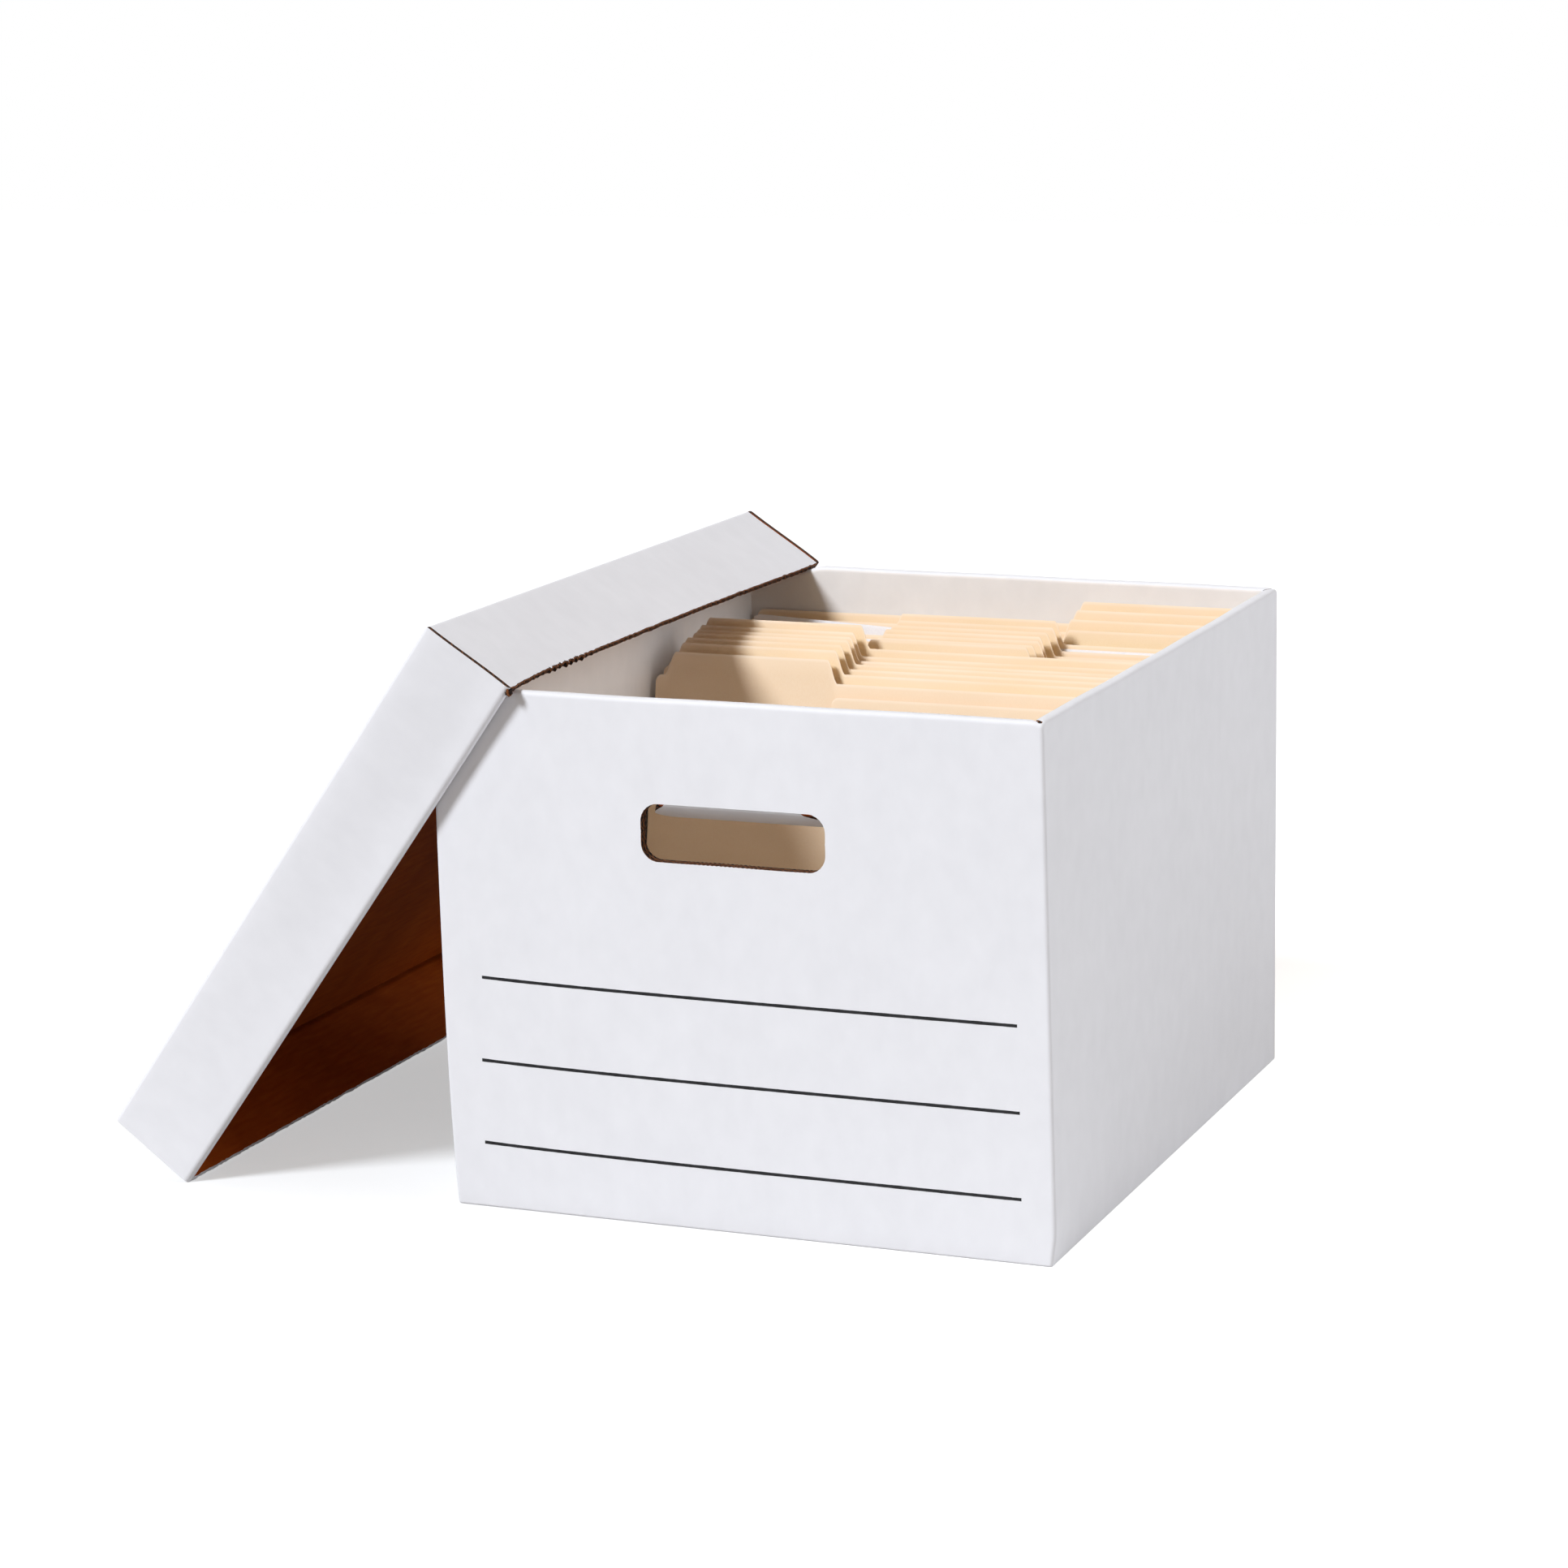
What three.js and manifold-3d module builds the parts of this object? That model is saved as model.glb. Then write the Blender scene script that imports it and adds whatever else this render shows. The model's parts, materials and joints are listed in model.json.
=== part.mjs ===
// Corrugated archival storage box with its loose lid leaning on the left side,
// holding a row of manila file folders. Millimetres, +Z up.
// Origin: centre of the box's underside. Front (hand hole) faces -Y.

import * as THREE from 'three';
import { mergeVertices } from 'three/addons/utils/BufferGeometryUtils.js';
import Module from 'manifold-3d';

const wasm = await Module();
wasm.setup();

// ---------------------------------------------------------------- driving dimensions

const GAP = 0.3;                 // clearance kept between neighbouring pieces
const BOARD = 3.0;               // B-flute corrugated board
const FLUTE_PITCH = 6.4;         // one wave of the corrugated medium
const LINER_PAPER = 0.45;        // paper faces of the board
const MEDIUM_PAPER = 0.45;       // fluted paper between them
const FOLD_RADIUS = 1.5;         // outside radius of a creased edge
const CREASE = 0.5;              // board crushed thin where a hand hole tab folds

const BOX = { width: 318, depth: 392, height: 267 };
const FOLDED = 2 * BOARD + GAP;  // thickness where the board is folded back on itself
const RIM_DEPTH = 7;             // height of the crushed fold along a rim

const HOLE = { width: 97, height: 29, radius: 9, offsetX: -3, centreZ: 200.5, slack: 0.6 };
const CRUSH = { inset: 12, depth: 14 };   // shoulders of a tab that has been pushed in
const LOCK = { width: 45, offset: 75, clearance: 0.5 };   // end liners lock into the floor
const HANDLE_ANGLE = 64;         // degrees that the front tab stays pushed in
const HANDLE_SWING = 75;         // degrees at which a tab meets the edge over the hole

const LID = { width: 331, depth: 411, height: 51.4, footOffset: 149.4, shiftY: -2.8 };
const CORNER_TAB = 60;           // length of the lid's corner tabs

const LEAF = { width: 298, thickness: 0.8, bodyDrop: 12.7, corner: 4 };
const FOLDER = { thickness: 3.8, frontDrop: 7.3, undercut: 14, margin: 4.6, floorGap: 0.3 };
const TAB = { width: 92, shoulder: 10, radius: 4, flank: 2.8 };   // flank: half way up a shoulder
const SHEETS = { width: 279.4, height: 215.9, thickness: 0.5, slip: 1.2 };   // letter paper

// Folders, front to back: tab position, place of the tab's top edge, lean in degrees and
// sideways shift; then the loose sheets inside, their own shift, how far they have been
// drawn up and their tilt in degrees, left end up.
const ROW = [
  { tab: 'left', y: 50, z: 243.2, lean: 9.2, shift: 0, sheets: 0 },
  { tab: 'left', y: 57, z: 247.2, lean: 9.0, shift: 1.2, sheets: 3, sheetShift: -11.3 },
  { tab: 'left', y: 63.4, z: 249, lean: 8.8, shift: -0.6, sheets: 0 },
  { tab: 'left', y: 69.8, z: 250.6, lean: 8.6, shift: 0.8, sheets: 3, sheetShift: 0 },
  { tab: 'left', y: 76.6, z: 251.2, lean: 8.3, shift: 0, sheets: 0 },
  { tab: 'left', y: 83.4, z: 252.6, lean: 8.0, shift: -0.8, sheets: 0 },
  { tab: 'left', y: 90.6, z: 255.6, lean: 7.7, shift: 1, sheets: 3, sheetShift: 2 },
  { tab: 'centre', y: 101, z: 246, lean: 7.3, shift: -0.4, sheets: 0 },
  { tab: 'centre', y: 109, z: 245.6, lean: 7.0, shift: 0.6, sheets: 3, sheetShift: 0 },
  { tab: 'centre', y: 117, z: 246.6, lean: 6.7, shift: 1.3, sheets: 0 },
  { tab: 'centre', y: 125, z: 247.6, lean: 6.4, shift: -0.7, sheets: 0 },
  { tab: 'centre', y: 133.2, z: 248.6, lean: 6.1, shift: 0.4, sheets: 3, sheetShift: 0 },
  { tab: 'centre', y: 141.2, z: 250, lean: 5.8, shift: 1, sheets: 0 },
  { tab: 'centre', y: 149, z: 252.4, lean: 5.5, shift: 0, sheets: 3, sheetShift: 0, sheetRise: 12.9 },
  {
    tab: 'right', y: 162, z: 245.4, lean: 5.1, shift: 0.5,
    sheets: 3, sheetShift: -5.3, sheetRise: 14.9, sheetTilt: 2.7,
  },
  { tab: 'right', y: 170, z: 250, lean: 4.9, shift: -0.6, sheets: 3, sheetShift: 0 },
  { tab: 'right', y: 178, z: 254, lean: 4.7, shift: 0.3, sheets: 0 },
  { tab: 'right', y: 186, z: 257.4, lean: 4.5, shift: 1.4, sheets: 0 },
];

const ARC_STEPS = 5;             // segments of a round stretch
const WELD = 1e-4;               // vertices closer than this are one
const MARGIN = 1;                // how far a cutting tool runs past what it cuts

// ---------------------------------------------------------------- worked out from them

const HALF_W = BOX.width / 2;
const HALF_D = BOX.depth / 2;
const MITRE_GAP = (GAP / 2) * Math.SQRT2;
const HOLE_TOP = HOLE.centreZ + HOLE.height / 2;
const FLOOR_TOP = 2 * BOARD + GAP;
const LINER_BASE = BOARD + GAP;
const LINER_TOP = BOX.height - RIM_DEPTH - GAP;
const FOLDER_RADIUS = FOLDER.thickness / 2;
const PIVOT_Z = FLOOR_TOP + FOLDER.floorGap + FOLDER_RADIUS;

const rad = THREE.MathUtils.degToRad;

// The lid's long skirt rests on the rims, its other one on the floor.
const LID_LEAN = Math.asin((BOX.height + GAP) / (LID.width - BOARD));

const WHITE = 0xe8e8ec;
const INNER_WHITE = 0xd9d6d2;
const KRAFT = 0x8a5a3a;
const MANILA = 0xf6d2a2;
const PAPER = 0xf4f2f4;

// ---------------------------------------------------------------- solids

/** A closed geometry as a solid for cutting and joining. */
function toSolid(geometry) {
  const bare = geometry.clone();
  bare.deleteAttribute('normal');
  bare.deleteAttribute('uv');
  const merged = mergeVertices(bare, WELD);
  return new wasm.Manifold(new wasm.Mesh({
    numProp: 3,
    vertProperties: new Float32Array(merged.attributes.position.array),
    triVerts: new Uint32Array(merged.index.array),
  }));
}

/** A solid as a geometry again. */
function toGeometry(solid) {
  const mesh = solid.getMesh();
  const geometry = new THREE.BufferGeometry();
  geometry.setAttribute('position', new THREE.BufferAttribute(mesh.vertProperties, 3));
  geometry.setIndex(new THREE.BufferAttribute(mesh.triVerts, 1));
  geometry.computeVertexNormals();
  return geometry;
}

function join(...geometries) {
  return toGeometry(geometries.map(toSolid).reduce((whole, next) => whole.add(next)));
}

function cut(geometry, ...tools) {
  return toGeometry(tools.map(toSolid).reduce((whole, tool) => whole.subtract(tool), toSolid(geometry)));
}

function common(a, b) {
  return toGeometry(toSolid(a).intersect(toSolid(b)));
}

function extrude(shape, depth) {
  return new THREE.ExtrudeGeometry(shape, { depth, bevelEnabled: false, curveSegments: ARC_STEPS });
}

const X = new THREE.Vector3(1, 0, 0);
const Y = new THREE.Vector3(0, 1, 0);
const Z = new THREE.Vector3(0, 0, 1);

/** A (y, z) outline carried along x, centred. */
function alongX(shape, length) {
  const turn = new THREE.Matrix4().makeBasis(Y, Z, X);
  return extrude(shape, length).applyMatrix4(turn).translate(-length / 2, 0, 0);
}

/** An (x, z) outline given a thickness from y = 0 to y = depth. */
function alongY(shape, depth) {
  const turn = new THREE.Matrix4().makeBasis(X, Z, Y.clone().negate());
  return extrude(shape, depth).applyMatrix4(turn).translate(0, depth, 0);
}

/** A closed outline through the given corners. */
function polygon(corners) {
  return new THREE.Shape(corners.map(([u, v]) => new THREE.Vector2(u, v)));
}

function rectangle(x0, y0, x1, y1) {
  return polygon([[x0, y0], [x1, y0], [x1, y1], [x0, y1]]);
}

/** A box between two corners. */
function block(x0, y0, z0, x1, y1, z1) {
  return extrude(rectangle(x0, y0, x1, y1), z1 - z0).translate(0, 0, z0);
}

/** A rectangle with four round corners, centred on (x, z). */
function roundedRectangle(width, height, radius, x, z, Kind = THREE.Shape) {
  const u = width / 2 - radius;
  const v = height / 2 - radius;
  const outline = new Kind();
  outline.absarc(x + u, z - v, radius, -Math.PI / 2, 0, false);
  outline.absarc(x + u, z + v, radius, 0, Math.PI / 2, false);
  outline.absarc(x - u, z + v, radius, Math.PI / 2, Math.PI, false);
  outline.absarc(x - u, z - v, radius, Math.PI, 1.5 * Math.PI, false);
  outline.closePath();
  return outline;
}

/** Triangular channels that the fluted paper leaves between the board's two faces. */
function fluteChannels(length, alongFirstAxis) {
  const count = Math.floor(length / FLUTE_PITCH);
  const start = -(count * FLUTE_PITCH) / 2;
  const low = LINER_PAPER;
  const high = BOARD - LINER_PAPER;
  const side = MEDIUM_PAPER;
  const half = FLUTE_PITCH / 2;
  const channels = [];
  for (let i = 0; i < 2 * count - 1; i += 1) {
    const x = start + i * half;
    const [base, tip] = i % 2 ? [high, low + side] : [low, high - side];
    channels.push([[x + side, base], [x + FLUTE_PITCH - side, base], [x + half, tip]]);
  }
  return channels.map((corners) => polygon(alongFirstAxis ? corners : corners.map(([u, v]) => [v, u])));
}

// ---------------------------------------------------------------- scene graph

const group = new THREE.Group();
const lid = new THREE.Group();
group.add(lid);

function addPiece(name, geometry, color, parent = group) {
  const material = new THREE.MeshStandardMaterial({ color, roughness: 0.85, metalness: 0 });
  const mesh = new THREE.Mesh(geometry, material);
  mesh.name = name;
  parent.add(mesh);
  return mesh;
}

// ---------------------------------------------------------------- box

/**
 * Section of a wall whose rim is folded back on itself: y is the depth from the
 * outer face and z the height. The base is creased square or mitred.
 */
function foldedWallSection(height, mitredBase) {
  const r = FOLDED / 2;
  const section = new THREE.Shape();
  if (mitredBase) {
    section.moveTo(0, MITRE_GAP);
    section.lineTo(BOARD, BOARD + MITRE_GAP);
  } else {
    section.absarc(FOLD_RADIUS, FOLD_RADIUS, FOLD_RADIUS, Math.PI, 1.5 * Math.PI, false);
    section.lineTo(BOARD, 0);
  }
  section.lineTo(BOARD, height - RIM_DEPTH);
  section.lineTo(FOLDED, height - RIM_DEPTH);
  section.absarc(r, height - r, r, 0, Math.PI, false);
  section.closePath();
  return section;
}

/** Plan of a wall with mitred ends that meet its neighbours at round upright creases. */
function mitredPlan(length) {
  const half = length / 2;
  const centre = half - FOLD_RADIUS - MITRE_GAP;
  const end = half - FOLDED - MITRE_GAP;
  const plan = new THREE.Shape();
  plan.absarc(centre, FOLD_RADIUS, FOLD_RADIUS, -Math.PI / 2, -Math.PI / 4, false);
  plan.lineTo(end, FOLDED);
  plan.lineTo(-end, FOLDED);
  plan.absarc(-centre, FOLD_RADIUS, FOLD_RADIUS, -0.75 * Math.PI, -Math.PI / 2, false);
  plan.closePath();
  return plan;
}

/** Outline of a hand hole in an end wall. */
function holeOutline(Kind) {
  return roundedRectangle(HOLE.width, HOLE.height, HOLE.radius, HOLE.offsetX, HOLE.centreZ, Kind);
}

function outerWall(length, withHole) {
  const wall = common(
    alongX(foldedWallSection(BOX.height, false), length),
    extrude(mitredPlan(length), BOX.height));
  if (!withHole) return wall;
  return cut(wall, alongY(holeOutline(THREE.Shape), 2 * BOARD).translate(0, -BOARD / 2, 0));
}

/** Inner layer of an end wall, with its hand hole and the tabs that lock into the floor. */
function endLiner() {
  const half = HALF_W - BOARD - GAP;
  const outline = new THREE.Shape();
  outline.moveTo(-half, LINER_BASE);
  for (const centre of [-LOCK.offset, LOCK.offset]) {
    outline.lineTo(centre - LOCK.width / 2, LINER_BASE);
    outline.lineTo(centre - LOCK.width / 2 + BOARD / 2, GAP);
    outline.lineTo(centre + LOCK.width / 2 - BOARD / 2, GAP);
    outline.lineTo(centre + LOCK.width / 2, LINER_BASE);
  }
  outline.lineTo(half, LINER_BASE);
  outline.lineTo(half, LINER_TOP);
  outline.lineTo(-half, LINER_TOP);
  outline.closePath();
  outline.holes.push(holeOutline(THREE.Path));
  return alongY(outline, BOARD).translate(0, BOARD + GAP, 0);
}

function sideLiner() {
  const half = HALF_D - FOLDED - GAP;
  return alongY(rectangle(-half, LINER_BASE, half, LINER_TOP), BOARD).translate(0, BOARD + GAP, 0);
}

function bottomPanel() {
  const x = HALF_W - BOARD - GAP;
  const y = HALF_D - BOARD - GAP;
  const slot = LOCK.width / 2 + LOCK.clearance;
  const slotDepth = BOARD + GAP;
  const outline = new THREE.Shape();
  outline.moveTo(-x, -y);
  for (const centre of [-LOCK.offset, LOCK.offset]) {
    outline.lineTo(centre - slot, -y);
    outline.lineTo(centre - slot, -y + slotDepth);
    outline.lineTo(centre + slot, -y + slotDepth);
    outline.lineTo(centre + slot, -y);
  }
  outline.lineTo(x, -y);
  outline.lineTo(x, y);
  for (const centre of [LOCK.offset, -LOCK.offset]) {
    outline.lineTo(centre + slot, y);
    outline.lineTo(centre + slot, y - slotDepth);
    outline.lineTo(centre - slot, y - slotDepth);
    outline.lineTo(centre - slot, y);
  }
  outline.lineTo(-x, y);
  outline.closePath();
  return extrude(outline, BOARD);
}

/** One of the two flaps that carry on from the side liners and double the floor. */
function floorFlap(side) {
  const reach = HALF_W - FOLDED - GAP;
  const y = HALF_D - FOLDED - GAP;
  const inner = side * (GAP / 2);
  const outer = side * reach;
  return block(Math.min(inner, outer), -y, LINER_BASE, Math.max(inner, outer), y, FLOOR_TOP);
}

/**
 * Outline of a hand hole tab from its crease at z = 0. One that has been pushed in
 * has crushed shoulders, which its hole's second layer has drawn in.
 */
function handleTabOutline(pushedIn) {
  const bottom = HOLE.slack - HOLE.height;
  const half = HOLE.width / 2 - HOLE.slack;
  const r = HOLE.radius - HOLE.slack;
  if (!pushedIn) return roundedRectangle(2 * half, HOLE.height - 2 * HOLE.slack, r, 0, -HOLE.height / 2);
  const face = new THREE.Shape();
  face.moveTo(half - CRUSH.inset, 0);
  face.lineTo(CRUSH.inset - half, 0);
  face.quadraticCurveTo(-half, -CRUSH.depth, -half, bottom + r);
  face.absarc(r - half, bottom + r, r, Math.PI, 1.5 * Math.PI, false);
  face.absarc(half - r, bottom + r, r, -Math.PI / 2, 0, false);
  face.quadraticCurveTo(half, -CRUSH.depth, half - CRUSH.inset, 0);
  return face;
}

/**
 * Die-cut tab of a hand hole. It hangs from the crease at z = 0, y = 0, where the
 * board is crushed thin, so that it can swing inwards past the second layer.
 */
function handleTab(pushedIn) {
  const bottom = HOLE.slack - HOLE.height;
  const slope = Math.tan(rad(HANDLE_SWING));
  const section = polygon([
    [0, -CREASE],
    [0, bottom],
    [BOARD, bottom],
    [BOARD, -BOARD * slope - CREASE],
    [CREASE, -CREASE * slope - CREASE],
  ]);
  return common(alongX(section, HOLE.width), alongY(handleTabOutline(pushedIn), BOARD));
}

function buildBox() {
  const walls = [
    { name: 'front_wall', turn: 0, length: BOX.width, at: [0, -HALF_D], end: true },
    { name: 'back_wall', turn: Math.PI, length: BOX.width, at: [0, HALF_D], end: true },
    { name: 'left_wall', turn: -Math.PI / 2, length: BOX.depth, at: [-HALF_W, 0], end: false },
    { name: 'right_wall', turn: Math.PI / 2, length: BOX.depth, at: [HALF_W, 0], end: false },
  ];
  for (const { name, turn, length, at, end } of walls) {
    const outer = addPiece(name, outerWall(length, end), WHITE);
    const inner = addPiece(`${name}_liner`, end ? endLiner() : sideLiner(), INNER_WHITE);
    for (const piece of [outer, inner]) {
      piece.position.set(at[0], at[1], 0);
      piece.rotation.z = turn;
    }
  }
  addPiece('bottom_panel', bottomPanel(), WHITE);
  addPiece('floor_flap_left', floorFlap(-1), INNER_WHITE);
  addPiece('floor_flap_right', floorFlap(1), INNER_WHITE);

  const front = addPiece('front_handle_tab', handleTab(true), WHITE);
  front.position.set(HOLE.offsetX, -HALF_D, HOLE_TOP);
  front.rotation.x = rad(HANDLE_ANGLE);
  const back = addPiece('back_handle_tab', handleTab(false), WHITE);
  back.position.set(-HOLE.offsetX, HALF_D, HOLE_TOP);
  back.rotation.z = Math.PI;
}

// ---------------------------------------------------------------- lid

// In the lid's own frame x runs up the slope, z points out of the top panel,
// and the panel's outer face is z = 0.

/** Top panel, mitred along its four creases. */
function lidTopPanel() {
  const geometry = new THREE.BoxGeometry(LID.width - 2 * MITRE_GAP, LID.depth - 2 * MITRE_GAP, BOARD);
  const position = geometry.attributes.position;
  for (let i = 0; i < position.count; i += 1) {
    if (position.getZ(i) > 0) continue;
    position.setX(i, position.getX(i) - Math.sign(position.getX(i)) * BOARD);
    position.setY(i, position.getY(i) - Math.sign(position.getY(i)) * BOARD);
  }
  return geometry.translate(0, 0, -BOARD / 2);
}

/**
 * Long skirt of single board: its cut edge shows the flutes, which run down from
 * a solid strip that is crushed along the crease.
 */
function longSkirt() {
  const length = LID.depth - 2 * (BOARD + GAP);
  const crease = 2 * BOARD;
  const body = block(-length / 2, 0, -LID.height, length / 2, BOARD, -crease);
  const channels = extrude(fluteChannels(length, true), LID.height - crease - BOARD);
  const fluted = cut(body, channels.translate(0, 0, -LID.height - BOARD / 2));
  const strip = polygon([[0, -crease], [BOARD, -crease], [BOARD, -BOARD - MITRE_GAP], [0, -MITRE_GAP]]);
  return join(fluted, alongX(strip, length));
}

/** End skirt whose free edge is rolled over; its flutes show at both cut sides. */
function endSkirt() {
  const straight = LID.height - 2 * BOARD - RIM_DEPTH;
  const channels = alongX(fluteChannels(straight, false), LID.width + 2 * BOARD);
  const whole = alongX(foldedWallSection(LID.height, true), LID.width);
  const notchX = LID.width / 2 - BOARD - GAP;
  const tools = [-1, 1].map((side) => {
    const inner = side * notchX;
    const outer = side * LID.width;
    const low = Math.min(inner, outer);
    const high = Math.max(inner, outer);
    return block(low, BOARD + GAP / 2, -MARGIN, high, 2 * FOLDED, LID.height + MARGIN);
  });
  return cut(whole, channels.translate(0, 0, 2 * BOARD + straight / 2), ...tools).rotateY(Math.PI);
}

/** The rolled-over layer of an end skirt, between the two corner tabs. */
function endSkirtLiner() {
  const half = LID.width / 2 - BOARD - 2 * GAP - CORNER_TAB;
  const top = -BOARD - GAP;
  const bottom = -LID.height + RIM_DEPTH + GAP;
  return alongY(rectangle(-half, bottom, half, top), BOARD).translate(0, BOARD + GAP, 0);
}

/** Tab at a long skirt's end, folded round and glued behind the end skirt. */
function cornerTab(side) {
  const hinge = LID.width / 2 - BOARD - GAP;
  const top = -BOARD - GAP;
  const bottom = -LID.height + RIM_DEPTH + GAP;
  const taper = BOARD;
  const end = hinge - CORNER_TAB + GAP;
  const corners = [[hinge, top], [end, top - taper], [end, bottom + taper], [hinge, bottom]];
  return alongY(polygon(corners.map(([x, z]) => [side * x, z])), BOARD).translate(0, BOARD + GAP, 0);
}

function buildLid() {
  const halfDepth = LID.depth / 2;
  addPiece('lid_top_panel', lidTopPanel(), WHITE, lid);

  const long = [['lid_upper_skirt', 1], ['lid_lower_skirt', -1]];
  for (const [name, side] of long) {
    const skirt = addPiece(name, longSkirt(), WHITE, lid);
    skirt.position.x = (side * LID.width) / 2;
    skirt.rotation.z = (side * Math.PI) / 2;
  }

  const ends = [['front', -1], ['back', 1]];
  for (const [name, side] of ends) {
    const end = new THREE.Group();
    end.position.y = side * halfDepth;
    end.rotation.z = side > 0 ? Math.PI : 0;
    lid.add(end);
    addPiece(`lid_${name}_skirt`, endSkirt(), WHITE, end);
    addPiece(`lid_${name}_skirt_liner`, endSkirtLiner(), INNER_WHITE, end);
    addPiece(`lid_${name}_upper_corner_tab`, cornerTab(-side), KRAFT, end);
    addPiece(`lid_${name}_lower_corner_tab`, cornerTab(side), KRAFT, end);
  }

  // The lower skirt's cut edge stands on the floor at x = -(half width + foot offset).
  const sin = Math.sin(LID_LEAN);
  const cos = Math.cos(LID_LEAN);
  const footX = -HALF_W - LID.footOffset;
  lid.rotation.y = -LID_LEAN;
  lid.position.set(
    footX + (LID.width / 2) * cos - LID.height * sin,
    LID.shiftY,
    (LID.width / 2) * sin + LID.height * cos);
}

// ---------------------------------------------------------------- folders

/** Place along x of a folder's tab. */
function tabCentre(tab) {
  return { left: -1, centre: 0, right: 1 }[tab] * (LEAF.width / 2 - TAB.shoulder - TAB.width / 2);
}

/** Upper part of a back leaf from height z0: round corners, and a tab with sloping shoulders. */
function backLeafTop(z0, z1, tab) {
  const half = LEAF.width / 2;
  const r = LEAF.corner;
  const top = z1 + LEAF.bodyDrop;
  const middle = z1 + LEAF.bodyDrop / 2;
  const right = tabCentre(tab) + TAB.width / 2;
  const left = tabCentre(tab) - TAB.width / 2;
  const outline = new THREE.Shape();
  outline.moveTo(-half, z0);
  outline.lineTo(half, z0);
  outline.absarc(half - r, z1 - r, r, 0, Math.PI / 2, false);
  outline.lineTo(Math.min(right + TAB.shoulder, half - r), z1);
  outline.quadraticCurveTo(right + TAB.radius, z1, right + TAB.flank, middle);
  outline.quadraticCurveTo(right, top, right - TAB.radius, top);
  outline.lineTo(left + TAB.radius, top);
  outline.quadraticCurveTo(left, top, left - TAB.flank, middle);
  outline.quadraticCurveTo(left - TAB.radius, z1, Math.max(left - TAB.shoulder, r - half), z1);
  outline.absarc(r - half, z1 - r, r, Math.PI / 2, Math.PI, false);
  outline.closePath();
  return outline;
}

/**
 * Upper part of a front leaf from height z0. Below the tab it is cut lower, so that
 * the tab can be read; the undercut of an end tab runs out to that end.
 */
function frontLeafTop(z0, z1, tab) {
  const half = LEAF.width / 2;
  const r = LEAF.corner;
  const low = z1 - FOLDER.undercut;
  const right = tabCentre(tab) + TAB.width / 2 + FOLDER.margin;
  const left = tabCentre(tab) - TAB.width / 2 - FOLDER.margin;
  const outline = new THREE.Shape();
  outline.moveTo(-half, z0);
  outline.lineTo(half, z0);
  outline.absarc(half - r, (tab === 'right' ? low : z1) - r, r, 0, Math.PI / 2, false);
  if (tab !== 'right') {
    outline.absarc(right + r, z1 - r, r, Math.PI / 2, Math.PI, false);
    outline.absarc(right - r, low + r, r, 0, -Math.PI / 2, true);
  }
  if (tab !== 'left') {
    outline.absarc(left + r, low + r, r, -Math.PI / 2, -Math.PI, true);
    outline.absarc(left - r, z1 - r, r, 0, Math.PI / 2, false);
  }
  outline.absarc(r - half, (tab === 'left' ? low : z1) - r, r, Math.PI / 2, Math.PI, false);
  outline.closePath();
  return outline;
}

/** A folder: two leaves joined by a round fold, its pivot at the fold's centre. */
function folderGeometry({ tab }, reach) {
  const bodyTop = reach - LEAF.bodyDrop;
  const frontTop = bodyTop - FOLDER.frontDrop;
  const joint = frontTop - FOLDER.undercut - 2 * LEAF.corner;
  const outer = FOLDER_RADIUS;
  const inner = FOLDER_RADIUS - LEAF.thickness;
  const section = new THREE.Shape();
  section.moveTo(-inner, joint);
  section.lineTo(-outer, joint);
  section.absarc(0, 0, outer, Math.PI, 2 * Math.PI, false);
  section.lineTo(outer, joint);
  section.lineTo(inner, joint);
  section.absarc(0, 0, inner, 0, -Math.PI, true);
  section.closePath();
  return join(
    alongX(section, LEAF.width),
    alongY(frontLeafTop(joint, frontTop, tab), LEAF.thickness).translate(0, -outer, 0),
    alongY(backLeafTop(joint, bodyTop, tab), LEAF.thickness).translate(0, inner, 0));
}

/** A few loose sheets held in a folder, each slipped a little against the next. */
function sheetStack({ sheets, sheetShift, sheetRise = 0, sheetTilt = 0 }) {
  const halfWidth = SHEETS.width / 2;
  const halfHeight = SHEETS.height / 2;
  const halfDepth = (sheets * SHEETS.thickness) / 2;
  const layers = [];
  for (let i = 0; i < sheets; i += 1) {
    const x = (i - (sheets - 1) / 2) * SHEETS.slip;
    const y = i * SHEETS.thickness - halfDepth;
    const z = sheetRise + (i * SHEETS.slip) / 2;
    layers.push(block(
      x - halfWidth, y, z - halfHeight,
      x + halfWidth, y + SHEETS.thickness, z + halfHeight));
  }
  return join(...layers).rotateY(rad(sheetTilt)).translate(sheetShift, 0, halfHeight);
}

function buildFolders() {
  ROW.forEach((spec, index) => {
    const number = String(index + 1).padStart(2, '0');
    const lean = rad(spec.lean);
    const reach = (spec.z - PIVOT_Z) / Math.cos(lean);
    const holder = new THREE.Group();
    holder.position.set(spec.shift, spec.y - reach * Math.sin(lean), PIVOT_Z);
    holder.rotation.x = -lean;
    group.add(holder);
    addPiece(`folder_${number}`, folderGeometry(spec, reach), MANILA, holder);
    if (spec.sheets) addPiece(`sheets_${number}`, sheetStack(spec), PAPER, holder);
  });
}

buildBox();
buildLid();
buildFolders();

export default group;
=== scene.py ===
# Looks of a corrugated archival box: white board, loose lid leaning on the left, manila folders.
# Sizes are in millimetres until a mesh is made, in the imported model's own frame.

import json
import math

import bmesh
import bpy
import numpy as np
from mathutils import Matrix, Vector


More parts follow.
